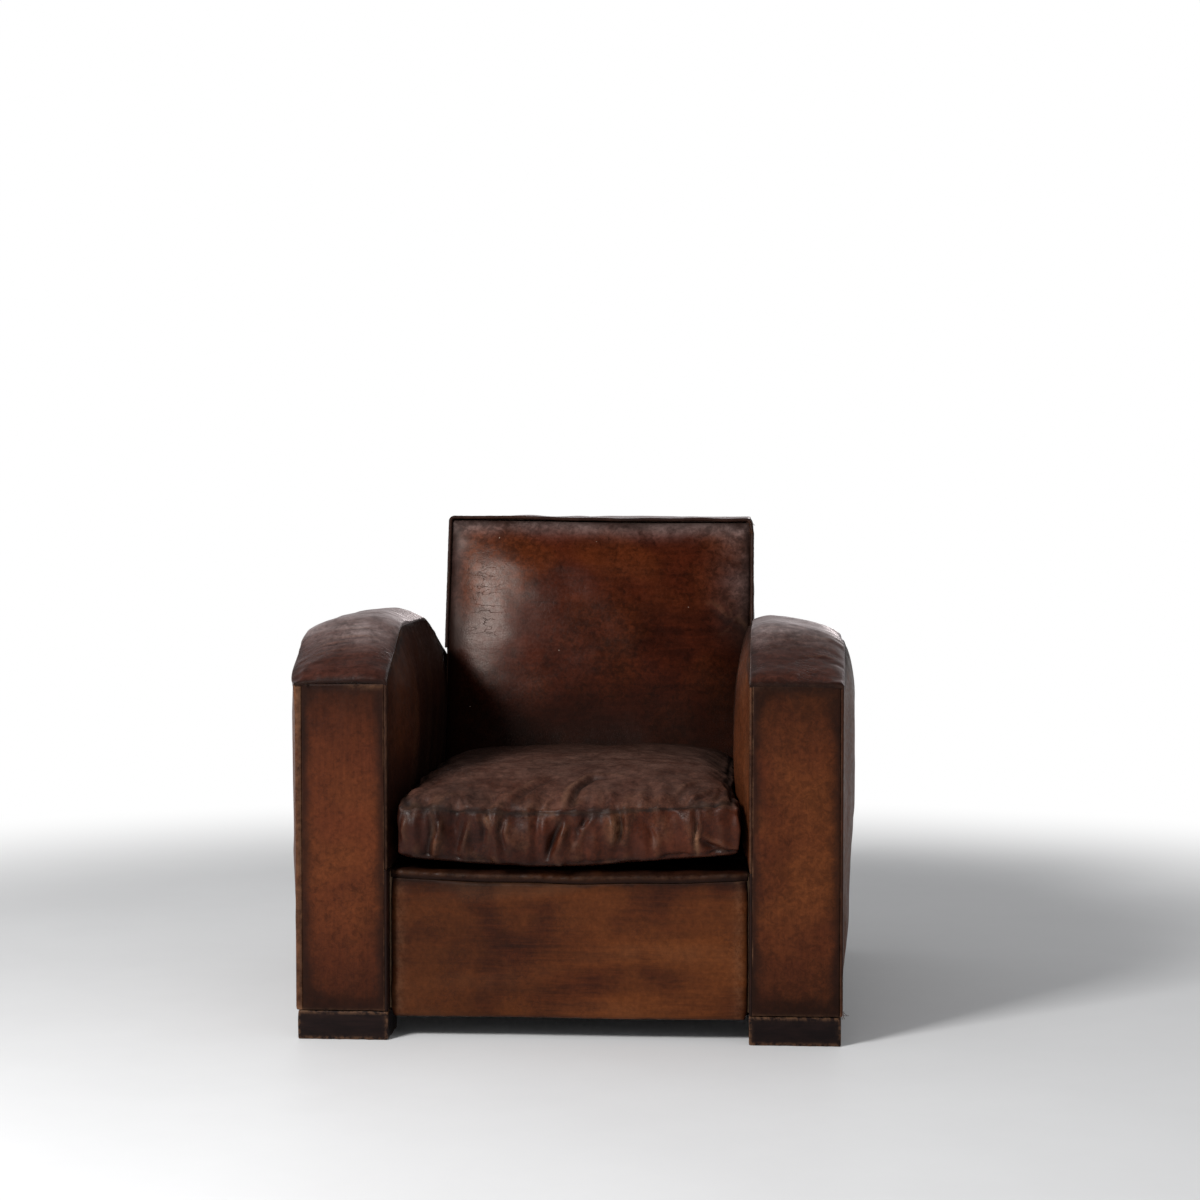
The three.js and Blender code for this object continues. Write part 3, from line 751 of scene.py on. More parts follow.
def armTop(side):
    sign = sides[side]
    u, t = grid(0.145, 0.84, arm["step"], arm["step"] + 0.0006)
    # rows closer together at the front, where the hide turns up from the facing
    y = t**1.12 * armEndY
    x = body["armInner"] + (body["armWidth"] + armShape[side]["seamOut"] * capRamp(y, side)) * u
    z = armTopZ(y, u, side)
    # the front edge rolls over the top of the facing
    nose = near(z - 0.543, 0.014) * (y < 0.1)
    y = y - 0.006 * nose
    points = np.stack([x * sign, y, z], -1)
    rng = np.random.default_rng(arm["seed"] + sign)
    lumps = waves(arm["seed"] + 5 * sign, 0.1)
    ripple = waves(arm["seed"] + 9 * sign, 0.022)

    def relief(p, runs, seam):
        front, rear, inner, outer = runs
        rise = arm["waves"] * lumps(p) + 0.00025 * ripple(p)
        depth = arm["gatherDepth"]
        rise += gathers(p[..., 0], front, arm["seed"] + sign, 0.018, depth * 2.2, 0.012)
        rise += gathers(p[..., 1], outer, arm["seed"] + 2 * sign, 0.03, depth, 0.012)
        rise += gathers(p[..., 1], inner, arm["seed"] + 3 * sign, 0.03, depth, 0.012)
        fold_light_and_shade = np.zeros(rise.shape)
        for n in range(arm["creases"]):
            at = rng.uniform(0.06, 0.66) if n > 5 else rng.uniform(0.03, 0.2)
            lean, arc = rng.uniform(-0.02, 0.02), rng.uniform(-0.03, 0.05)
            start, end = sorted(rng.uniform(0, 1, 2))
            if end - start < 0.3:
                end = min(1, start + 0.45)
            s = np.linspace(start, end, 7)
            line = np.stack([s * body["armWidth"], at + lean * s + arc * (s - 0.5) ** 2], -1)
            line[:, 1] += rng.uniform(-0.0015, 0.0015, 7)
            depth = rng.uniform(0.0003, 0.0008)
            dent = crease(inner, p[..., 1], line, rng.uniform(0.0016, 0.0034), depth)
            rise += dent
            # the creases get painted shade in their valleys
            fold_light_and_shade += dent / 0.0022
        # painted sheen with dust: the crest turns greyer and paler where light glances off it
        dust_and_sheen = smooth(p[..., 2], 0.56, 0.618) * (0.7 + 0.3 * smooth(ripple(p * (0.4, 1.6, 1)), -1, 1))
        dust_and_sheen = dust_and_sheen * (1 - 0.4 * smooth(p[..., 1], 0.4, 0.7))
        # painted shade in the front seam and towards the back
        dirt_and_shade = 0.75 * near(front, 0.007) + 0.3 * smooth(p[..., 1], 0.45, 0.75)
        return rise, {"fold_light_and_shade": np.clip(fold_light_and_shade, -0.8, 0.15), "dust_and_sheen": dust_and_sheen, "dirt_and_shade": dirt_and_shade}

    piece = cover(f"arm_top_leather_{side}", points, (0, -0.3, 1), arm, seams=(2, 1, 1, 1), relief=relief)
    finished(piece, armTopLeather, "arm_leather", f"arm_top_cover_{side}")
    # the hair under it
    inset = points[4:-4:3, 4:-4:3].copy()
    inset[..., 1] = np.minimum(inset[..., 1] + 0.007, armEndY - 0.01)
    low = np.stack([inset[..., 0], inset[..., 1], armSeamZ(inset[..., 1], side) - 0.027], -1)
    high = inset - (0, 0, 0.0052)
    high[..., 2] = np.maximum(high[..., 2], low[..., 2] + 0.001)
    filling = closedSheet(f"arm_top_stuffing_{side}", high, low, {})
    finished(filling, stuffing, "stuffing", f"arm_top_pad_{side}")


def aroundCorner(run, strip, radius):
    # the place on a path that starts on the front, turns the corner and runs back: side step, way back
    arc = radius * math.pi / 2
    flat = strip - radius
    turn = np.clip((run - flat) / radius, 0, math.pi / 2)
    off = np.where(run < flat, strip - run, radius * (1 - np.sin(turn)))
    back = np.where(run < flat, 0, radius * (1 - np.cos(turn)))
    back = np.where(run > flat + arc, radius + run - flat - arc, back)
    off = np.where(run > flat + arc, 0, off)
    return off, back


def armSide(side, outside):
    sign = sides[side]
    radius = arm["cornerRadius"]
    strip = arm["wrap"][side] if outside else radius + 0.0008
    seed = arm["seed"] + (40 if outside else 20) + sign
    length = (0.83 if outside else 0.64) + strip
    step = arm["step"] + (0.001 if outside else 0)
    corner = np.arange(1, 7) * 0.0011 + max(0.0, strip - radius)
    s = np.unique(np.concatenate([stations(length, step) * length, corner]))
    v = stations(0.5 if outside else 0.34, step)
    run, v = np.meshgrid(s, v)
    off, back = aroundCorner(run, strip, radius)
    share = np.clip((back - radius) / (back.max() - radius), 0, 1)
    low = body["foot"] + 0.0005 if outside else body["onDeck"]
    z = low + 0.3 * v
    for _ in range(4):
        end = rearFaceY(z) - 0.0023 if outside else backFaceY(z) - 0.002
        y = np.where(back > radius, radius + (end - radius) * share, back)
        z = low + (armTopZ(y, 1.0 if outside else 0.0, side) - 0.0012 - low) * v
    if outside:
        x = armOuterFace(y, v, side) - off
    else:
        x = armInnerFace(y, v) + off
    points = np.stack([x * sign, y, z], -1)
    lumps = waves(seed, 0.16 if outside else 0.11)
    ripple = waves(seed + 1, 0.03)
    upright = waves(seed + 2, 0.045)

    def relief(p, runs, seam):
        bottom, top, front, rear = runs
        rise = arm["waves"] * (1.5 if outside else 1.1) * lumps(p) + 0.0002 * ripple(p)
        stretched = p * (1, 1, 0.18)
        rise += 0.0005 * upright(stretched)
        rise += gathers(p[..., 1], top, seed, 0.03, arm["gatherDepth"] * 1.4, 0.016)
        rise += gathers(p[..., 2], front, seed + 3, 0.034, arm["gatherDepth"], 0.012)
        # painted shade in the upright ripples' valleys, and a little painted highlight on their ridges
        fold_light_and_shade = np.clip(upright(stretched) * 0.06, -0.15, 0.05)
        if outside:
            # the strip that shows beside the front is worn to the tan of the hide
            wear_and_highlight = 0.3 * smooth(0.004 - p[..., 1], 0, 0.003) * (side == "left")
            wear_and_highlight = wear_and_highlight + 0.4 * near(bottom, 0.004)
            # darker towards the back
            dirt_and_shade = 0.35 * smooth(p[..., 1], 0.3, 0.7)
        else:
            # a painted highlight along the rolled front corner
            wear_and_highlight = 0.2 * near(front - strip, 0.002)
            # painted shade towards the back, and on the left arm low down, where its inside faces away from
            # the window
            dirt_and_shade = 0.9 * smooth(p[..., 1], 0.08, 0.34)
            dirt_and_shade = dirt_and_shade + 0.75 * smooth(0.46 - p[..., 2], 0, 0.1) * (side == "left")
        # the front of the right arm's inside turns tan as painted light, where the window falls on it; the
        # outsides turn tan at their fronts too
        tan_and_light = 0.9 * smooth(0.16 - p[..., 1], 0, 0.1) * (side == "right" or outside)
        marks = {"fold_light_and_shade": fold_light_and_shade, "wear_and_highlight": wear_and_highlight, "dirt_and_shade": np.clip(dirt_and_shade, 0, 0.85), "tan_and_light": tan_and_light}
        return rise * smooth(p[..., 1], 0.004, 0.03), marks

    kind, outward = ("outside", sign) if outside else ("inside", -sign)
    piece = cover(f"{kind}_arm_leather_{side}", points, (outward, 0, 0), arm, relief=relief)
    finished(piece, armSideLeather, "arm_leather", f"{kind}_arm_cover_{side}")


facing = {
    "step": 0.003,
    "roll": (0.0016, 0.0042),
    "crown": 0.0012,
    "top": 0.5268,
    "turned": [(0.268, 0.5215), (0.33, 0.5205), (0.402, 0.522)],  # where the hide goes over the board
    "seed": 70,
}


def armFacing(side):
    sign = sides[side]
    left = body["armInner"] + arm["cornerRadius"] + 0.0006
    right = body["armOuter"] - arm["wrap"][side]
    u, v = grid(right - left, 0.484, facing["step"], facing["step"] + 0.001)
    x = left + (right - left) * u
    z = body["foot"] + 0.0006 + (facing["top"] - body["foot"] - 0.0006) * v
    y = -facing["crown"] * np.sin(np.pi * u) ** 0.6 * np.sin(np.pi * v) ** 0.3
    points = np.stack([x * sign, y, z], -1)
    lumps = waves(facing["seed"] + sign, 0.09)
    ripple = waves(facing["seed"] + 4 * sign, 0.018)
    upright = waves(facing["seed"] + 8 * sign, 0.05)

    def relief(p, runs, seam):
        bottom, top, inner, outer = runs
        rise = 0.0004 * lumps(p * (1.6, 1, 0.7)) + 0.0001 * ripple(p)
        rise += gathers(p[..., 2], outer, facing["seed"] + sign, 0.028, 0.0003, 0.007)
        rise += gathers(p[..., 2], inner, facing["seed"] - sign, 0.028, 0.0003, 0.007)
        rise += crease(p[..., 0] * sign, p[..., 2], facing["turned"], 0.0012, 0.0005)
        worn = 0.25 if side == "left" else 0.05
        wear_and_highlight = worn * near(top - 0.004, 0.0035) * smooth(0.34 - p[..., 0] * sign, 0, 0.04)
        wear_and_highlight = wear_and_highlight + 0.2 * near(bottom, 0.003)
        # a painted highlight along the rolled inner edge
        wear_and_highlight = wear_and_highlight + 0.3 * near(inner - 0.0008, 0.0009) * smooth(upright(p), -0.6, 0.6)
        # darker along the seams and towards both ends, in uneven tides
        tide = 1 + 0.25 * upright(p) + 0.15 * lumps(p)
        ends = np.minimum(bottom, top)
        dirt_and_shade = 0.55 * np.exp(-top / (0.02 * tide)) + 0.65 * near(bottom, 0.018 * tide)
        dirt_and_shade += 0.5 * near(ends, 0.085)
        dirt_and_shade += 0.65 * near(np.minimum(inner, outer), 0.011 * tide)
        tan_and_light = (0.95 if side == "right" else 0.4) * smooth(ends, 0.05, 0.2) * smooth(lumps(p), -1.4, 1.2)
        return rise, {"wear_and_highlight": wear_and_highlight, "dirt_and_shade": np.clip(dirt_and_shade, 0, 0.85), "tan_and_light": tan_and_light}

    piece = cover(f"facing_leather_{side}", points, (0, -1, 0), facing, relief=relief)
    finished(piece, facingLeather, "facing_leather", f"arm_facing_{side}")

    # the hide that returns round the board beside the apron, painted dark as the shade there
    u, v = grid(0.031, 0.209, 0.003, 0.005)
    off, y = aroundCorner(u * 0.031, arm["cornerRadius"] + 0.0008, arm["cornerRadius"])
    points = np.stack([(body["armInner"] + off) * sign, y, 0.0436 + 0.2083 * v], -1)
    strip = cover(f"facing_return_{side}", points, (-sign, 0, 0), {"roll": (0.0008, 0.003)}, under=-0.0012)
    finished(strip, returnShadeLeather, "arm_leather")


for side in sides:
    armTop(side)
    armSide(side, True)
    armSide(side, False)
    armFacing(side)
print("arms made")


# back

back = {
    "step": 0.0032,
    "roll": (0.0045, 0.014),
    "waves": 0.0009,
    "seed": 130,
    "height": 0.5104,
    "drop": 0.0012,
    "skew": 0.0042,  # how far the top right corner is out of square
    "pillow": 0.0155,
    "belly": 0.014,
    "pinch": (0.215, 0.585),
    # folds there, as lines in x and z from it, then each one's width and depth
    "folds": [
        (((0.024, 0.02), (0.012, 0.003), (-0.004, -0.012)), 0.003, 0.0016),
        (((-0.02, 0.025), (0.005, 0.002), (0.03, -0.01)), 0.005, 0.0022),
        (((0.004, 0.03), (0.012, 0.005), (0.03, -0.004)), 0.003, 0.0012),
    ],
    "wing": 0.497,  # how high the rear hide goes behind the arms
    "rearTop": 0.7632,
    "piping": {"Radius": 0.003, "Sides": 10, "Wear": 0.0012},
}


def leaned(x, z):
    return x + back["skew"] * smooth(x, 0.05, 0.26) * smooth(body["backTop"] - z, 0, 0.03)


def backPlace(u, v):
    x = -body["backHalf"] + body["backWidth"] * u
    rise = back["height"] - back["drop"] - back["skew"] * smooth(x, -0.25, 0.12)
    z = body["onDeck"] + rise * v
    return leaned(x, z), z


def insideBack():
    u, v = grid(body["backWidth"], 0.51, back["step"])
    x, z = backPlace(u, v)
    # a pillow: nearly flat in the middle, steep at its sides and its top
    across = 1 - np.abs(2 * u - 1) ** 5
    upward = (1 - np.abs(2 * v - 1) ** 6) ** 0.8
    y = backFaceY(z) - back["pillow"] * across * upward
    y = y - 0.003 * (1 - (2 * u - 1) ** 2) * np.sin(np.pi * v) - 0.0005
    # fuller above the seat, so that its left shoulder faces the window
    belly = smooth(z, 0.4, 0.57) * smooth(body["backTop"] - z, 0, 0.09)
    y = y - back["belly"] * (1 - np.abs(2 * u - 1) ** 2.5) * belly
    points = np.stack([x, y, z], -1)
    lumps = waves(back["seed"], 0.12)
    ripple = waves(back["seed"] + 1, 0.026)

    def relief(p, runs, seam):
        bottom, top, left, right = runs
        rise = back["waves"] * lumps(p) + 0.00006 * ripple(p)
        rise += gathers(p[..., 2], left, back["seed"] + 2, 0.05, 0.00025, 0.016)
        rise += gathers(p[..., 2], right, back["seed"] + 3, 0.035, 0.0006, 0.016)
        rise += gathers(p[..., 0], top, back["seed"] + 4, 0.04, 0.0006, 0.016)
        fold_light_and_shade = np.zeros(rise.shape)
        for line, width, depth in back["folds"]:
            line = np.array(back["pinch"]) + line
            dent = crease(p[..., 0], p[..., 2], line, width, depth)
            rise += dent
            # the folds get painted shade in their valleys
            fold_light_and_shade += dent / 0.004
        edge = np.minimum(left, right)
        height = p[..., 2]
        # painted shade: the lower half darkens, and more so low at its sides, where the arms shade it; a
        # little along the edges and top
        dirt_and_shade = 0.9 * smooth(0.53 - height, 0, 0.14)
        dirt_and_shade += 0.85 * smooth(0.64 - height, 0, 0.08) * near(edge, 0.06)
        dirt_and_shade += 0.35 * near(np.minimum(edge, top), 0.012)
        # painted reflection with dust: the upper parts of the top and both sides turn greyer and paler
        dust_and_sheen = near(top, 0.024) + 0.42 * near(right, 0.045) + 0.5 * near(left, 0.02)
        dust_and_sheen = np.clip(dust_and_sheen, 0, 1) * smooth(height, 0.52, 0.66)
        # painted light: the upper back turns warmer in patches, and the left shoulder under the shine warmer
        # still
        tan_and_light = 0.45 * smooth(height, 0.56, 0.68) * smooth(lumps(p * 1.3), -1.4, 1.4)
        tan_and_light = np.maximum(tan_and_light, 0.9 * near(left - 0.045, 0.02) * smooth(height, 0.56, 0.63))
        scored = spot(p[..., 0], height, (-0.2, 0.62), (0.035, 0.075))
        marks = {"fold_light_and_shade": np.clip(fold_light_and_shade, -0.6, 0.1), "dirt_and_shade": np.clip(dirt_and_shade, 0, 0.9)}
        return rise, {**marks, "dust_and_sheen": dust_and_sheen, "tan_and_light": tan_and_light, "scored": scored}

    piece = cover("back_leather_front", points, (0, -1, 0), back, relief=relief)
    finished(piece, backLeather, "back_leather", "inside_back_cover")
    front = points[4:-4:4, 4:-4:4] + (0, 0.006, 0)
    rear = front.copy()
    rear[..., 1] = rearFaceY(front[..., 2]) - 0.0326
    finished(closedSheet("back_stuffing", front, rear, {}), stuffing, "stuffing", "back_pad")


def backBorders():
    for side, sign in sides.items():
        s, v = grid(0.15, 0.295, 0.004)
        z = 0.468 + 0.2947 * v
        start = backFaceY(z) - 0.001
        end = rearFaceY(z) - 0.0023
        edge = backPlace(np.array((sign + 1) / 2), v)[0] * sign
        x = edge + 0.0005 + 0.003 * np.sin(np.pi * s) * (1 - v * v)
        points = np.stack([x * sign, start + (end - start) * s, z], -1)
        lumps = waves(back["seed"] + 20 * sign, 0.07)
        relief = lambda p, runs, seam: (0.0009 * lumps(p), {})
        piece = cover(f"back_side_leather_{side}", points, (sign, 0, 0), arm, relief=relief)
        finished(piece, armSideLeather, "back_leather", f"back_side_border_{side}")
    u, s = grid(body["backWidth"], 0.146, 0.004)
    start, end = backFaceY(0.764) - 0.001, rearFaceY(0.764) - 0.0003
    x, z = backPlace(u, np.ones(u.shape))
    z = body["backTop"] + (z - 0.7627) * (1 - s) ** 3
    points = np.stack([x, start + (end - start) * s, z], -1)
    lumps = waves(back["seed"] + 30, 0.08)
    # the top roll turns a little greyer, dust with a painted sheen
    dust = {"dust_and_sheen": np.full(u.shape, 0.25)}
    relief = lambda p, runs, seam: (np.maximum(0.0008 * lumps(p), -0.0004), dust)
    piece = cover("back_top_leather", points, (0, 0, 1), {"roll": (0.0014, 0.005)}, relief=relief)
    finished(piece, armTopLeather, "back_leather", "back_top_border")


def outsideBack():
    wing, hem, top, half = back["wing"], body["hem"], back["rearTop"], body["backHalf"]
    beside = 0.143 * stations(0.143, 0.006)
    between = body["backWidth"] * stations(body["backWidth"], 0.006)[1:]
    xs = np.concatenate([-body["armOuter"] + beside, -half + between, half + beside[1:]])
    low = stations(0.45, 0.006)
    high = stations(0.265, 0.006)[1:]
    x, row = np.meshgrid(xs, np.arange(len(low) + len(high)))
    u = np.clip((np.abs(x) - body["armInner"]) / body["armWidth"], 0, 1)
    wingTop = np.where(x > 0, armTopZ(armEndY, u, "right"), armTopZ(armEndY, u, "left")) - 0.001
    wingZ = np.where(np.abs(x) > half + 0.0001, wingTop, wing)
    lowShare = np.concatenate([low, np.ones(len(high))])[row]
    highShare = np.concatenate([np.zeros(len(low)), high])[row]
    z = hem + (wingZ - hem) * lowShare + (top - wing) * highShare
    y = rearFaceY(z)
    middle = np.abs((x[:-1, :-1] + x[1:, 1:]) / 2) < half
    keep = middle | (row[:-1, :-1] < len(low) - 1)
    points = np.stack([x, y, z], -1)
    lumps = waves(back["seed"] + 50, 0.2)
    ripple = waves(back["seed"] + 51, 0.04)
    # the edges of a T, not of a grid: each point's way to the nearest of them
    gap = np.minimum(body["armOuter"] - np.abs(x), z - hem)
    upper = np.minimum(half - np.abs(x), top - z)
    inward = np.where(np.abs(x) > half, wingZ - z, np.hypot(half - np.abs(x), wing - z))
    gap = np.where(z > wing + 1e-6, upper, np.minimum(gap, inward))
    gap = np.clip(gap, 0, 0.5)
    normals = gridNormals(points, (0, 1, 0))
    depth, radius = back["roll"]
    sink = depth * 0.3 * (1 - np.sqrt(1 - np.clip(1 - gap / radius, 0, 1) ** 2))
    rise = 0.0014 * lumps(points) + 0.0002 * ripple(points)
    # the timber is close behind, so it bulges more than it dips
    rise = np.where(rise < 0, rise * 0.25, rise) * smooth(gap, 0, 0.02)
    outer = points + normals * (rise - sink)[..., None]
    inner = points - normals * 0.003
    values = {"seam": gap, "wear_and_highlight": 0.5 * near(z - hem, 0.006)}
    piece = closedSheet("outside_back_leather", outer, inner, values, keep)
    finished(piece, armSideLeather, "back_leather", "outside_back_cover")


insideBack()
backBorders()
outsideBack()
print("back made")


# piping and stitches, made with geometry nodes


def pathObject(name, *paths):
    curve = bpy.data.curves.new(name, "CURVE")
    curve.dimensions = "3D"
    for points in paths:
        spline = curve.splines.new("POLY")
        spline.points.add(len(points) - 1)
        for point, place in zip(spline.points, points):
            point.co = (place[0], place[1] + frontY, place[2], 1)
    return placed(name, curve)


def startTree(name, **inputs):
    tree = bpy.data.node_groups.new(name, "GeometryNodeTree")
    tree.interface.new_socket("Geometry", in_out="INPUT", socket_type="NodeSocketGeometry")
    for title, kind in inputs.items():
        tree.interface.new_socket(title, in_out="INPUT", socket_type="NodeSocket" + kind)
    tree.interface.new_socket("Geometry", in_out="OUTPUT", socket_type="NodeSocketGeometry")
    return tree, tree.nodes.new("NodeGroupInput").outputs, tree.nodes.new("NodeGroupOutput").inputs


def evaluated(piece):
    bpy.context.view_layer.update()
    graph = bpy.context.evaluated_depsgraph_get()
    return bpy.data.meshes.new_from_object(piece.evaluated_get(graph))


def runTree(source, tree, name, **values):
    modifier = source.modifiers.new(tree.name, "NODES")
    modifier.node_group = tree
    for item in tree.interface.items_tree:
        if item.in_out == "INPUT" and item.name in values:
            modifier[item.identifier] = values[item.name]
    mesh = evaluated(source)
    source.modifiers.clear()
    bpy.data.objects.remove(source)
    mesh.name = name
    return placed(name, mesh)


def pipingTree():
    tree, given, wanted = startTree("piping", Radius="Float", Sides="Int", Wear="Float", Material="Material")
    fine = {"Curve": given["Geometry"], "Length": 0.0025}
    fine = first(tree, "GeometryNodeResampleCurve", fine, mode="LENGTH")
    ring = {"Resolution": given["Sides"], "Radius": given["Radius"]}
    ring = first(tree, "GeometryNodeCurvePrimitiveCircle", ring)
    tube = {"Curve": fine, "Profile Curve": ring, "Fill Caps": True}
    tube = first(tree, "GeometryNodeCurveToMesh", tube)
    bumps = put(tree, "ShaderNodeTexNoise", {"Scale": 160.0, "Detail": 3.0}).outputs["Fac"]
    amount = times(tree, calc(tree, "SUBTRACT", bumps, 0.5), given["Wear"])
    normal = first(tree, "GeometryNodeInputNormal")
    push = first(tree, "ShaderNodeVectorMath", {0: normal, "Scale": amount}, operation="SCALE")
    moved = first(tree, "GeometryNodeSetPosition", {"Geometry": tube, "Offset": push})
    even = first(tree, "GeometryNodeSetShadeSmooth", {"Geometry": moved})
    real = first(tree, "GeometryNodeRealizeInstances", {"Geometry": even})
    done = first(tree, "GeometryNodeSetMaterial", {"Geometry": real, "Material": given["Material"]})
    tree.links.new(done, wanted["Geometry"])
    return tree


def stitchTree():
    kinds = {"Pitch": "Float", "Length": "Float", "Radius": "Float", "Seed": "Int", "Material": "Material"}
    tree, given, wanted = startTree("stitches", **kinds)
    dots = {"Curve": given["Geometry"], "Length": given["Pitch"]}
    dots = put(tree, "GeometryNodeCurveToPoints", dots, mode="LENGTH").outputs
    bar = {"Vertices": 6, "Radius": given["Radius"], "Depth": given["Length"]}
    bar = first(tree, "GeometryNodeMeshCylinder", bar)
    scale = {2: 0.8, 3: 1.1, "Seed": given["Seed"]}
    scale = put(tree, "FunctionNodeRandomValue", scale, data_type="FLOAT").outputs[1]
    spots = {"Points": dots[0], "Instance": bar, "Rotation": dots["Rotation"], "Scale": scale}
    spots = first(tree, "GeometryNodeInstanceOnPoints", spots)
    real = first(tree, "GeometryNodeRealizeInstances", {"Geometry": spots})
    even = first(tree, "GeometryNodeSetShadeSmooth", {"Geometry": real})
    done = first(tree, "GeometryNodeSetMaterial", {"Geometry": even, "Material": given["Material"]})
    tree.links.new(done, wanted["Geometry"])
    return tree


stitches = {"Pitch": 0.0042, "Length": 0.003, "Radius": 0.00035, "Seed": 4}


def pipingPath():
    # up one side of the back, over its top and down the other
    out, ahead, corner = 0.00066, 0.0036, 0.0065
    foot = armSeamZ(backFaceY(0.606), "right") + 0.004
    half, top = body["backHalf"] + out, body["backTop"] + out
    zs = np.linspace(foot, top - corner, 60)
    left = [(-half, z) for z in zs]
    turn = [
        (-half + corner * (1 - math.cos(a)), top - corner + corner * math.sin(a))
        for a in np.linspace(0.1, 1.47, 8)
    ]
    across = [(x, top) for x in np.linspace(-half + corner, half - corner, 90)]
    flat = left + turn + across
    flat += [(-x, z) for x, z in (left + turn)[::-1]]
    lumps = waves(77, 0.09)
    path = []
    for x, z in flat:
        drop = back["drop"] + back["skew"] * smooth(x, -0.25, 0.12)
        z = z - drop * smooth(z, 0.6, 0.76)
        x = leaned(x, z)
        y = backFaceY(z) - ahead
        shake = lumps(np.array([x, y, z])) * 0.0005
        path.append((x, y + shake * 0.6, z + (shake if abs(x) < 0.24 else 0)))
    return path


def threaded(name, paths, tree, values, material, slot, *replaced):
    piece = runTree(pathObject(name + "_path", *paths), tree, name, Material=material, **values)
    finished(piece, material, slot, *replaced)


cord = pipingTree()
stitch = stitchTree()
welt = [pipingPath()]
threaded("back_piping_leather", welt, cord, back["piping"], pipingLeather, "piping", "back_piping")

for side, sign in sides.items():
    ys = np.linspace(0.012, 0.62, 150)
    z = armTopZ(ys, np.zeros(150), side)
    path = [(0.2672 * sign, y, h - 0.0006) for y, h in zip(ys, z)]
    threaded(f"arm_top_stitches_{side}", [path], stitch, stitches, thread, "arm_leather")

strand = {"Radius": 0.0003, "Sides": 5, "Wear": 0.0002}

# torn threads: where each tuft stands, which way it points, how many and how long
frays = {
    "back_corner": ((0.26, 0.68, 0.756), (0.4, -0.6, -0.6), 18, 0.007, "back_leather"),
    "back_border": ((0.261, 0.676, 0.742), (0.5, -0.5, -0.7), 12, 0.006, "back_leather"),
    "arm_seam_left": ((-0.384, -0.0035, 0.5285), (-0.5, -0.8, -0.2), 10, 0.006, "arm_leather"),
    "arm_seam_left_inner": ((-0.312, -0.0045, 0.5285), (0.3, -0.9, 0.1), 8, 0.005, "arm_leather"),
    "arm_hem_right": ((0.402, 0.002, 0.05), (0.5, -0.5, -0.6), 6, 0.012, "arm_leather"),
}


def fray(name, place, way, count, length, slot):
    rng = np.random.default_rng(len(name) + count)
    strands = []
    for _ in range(count):
        root = np.array(place) + rng.normal(0, 0.0022, 3) * (1, 0.4, 1)
        ahead = np.array(way) + rng.normal(0, 0.45, 3)
        ahead /= np.linalg.norm(ahead)
        curl = rng.normal(0, 0.35, 3)
        reach = length * rng.uniform(0.5, 1)
        steps = np.linspace(-0.25, 1, 6)[:, None]
        strands.append(root + reach * (ahead * steps + curl * steps**2 * 0.6))
    threaded(f"frayed_{name}", strands, cord, strand, thread, slot)


for name, given in frays.items():
    fray(name, *given)
print("piping and stitches made")


# apron and lip

apron = {
    "step": 0.003,
    "roll": (0.0022, 0.006),
    "half": 0.2648,
    "low": 0.0312,
    "setback": 0.02,
    "sag": 0.0065,
    "seam": 0.2385,
    "round": 0.014,
    "seed": 210,
}
lip = {"half": 0.264, "run": 0.135, "rise": 0.0125, "radius": 0.006}
deck = {"half": 0.2665, "front": 0.1302, "length": 0.649, "height": 0.2518}


def rounded(gap, radius):
    # how far a face falls back at this distance from a rounded edge
    t = np.clip(1 - gap / radius, 0, 1)
    return radius * (1 - np.sqrt(1 - t * t * 0.98))


def seamSag(x):
    return apron["sag"] * (1 - (x / apron["half"]) ** 2) * (1 + 0.12 * np.sin(x * 41 + 1))


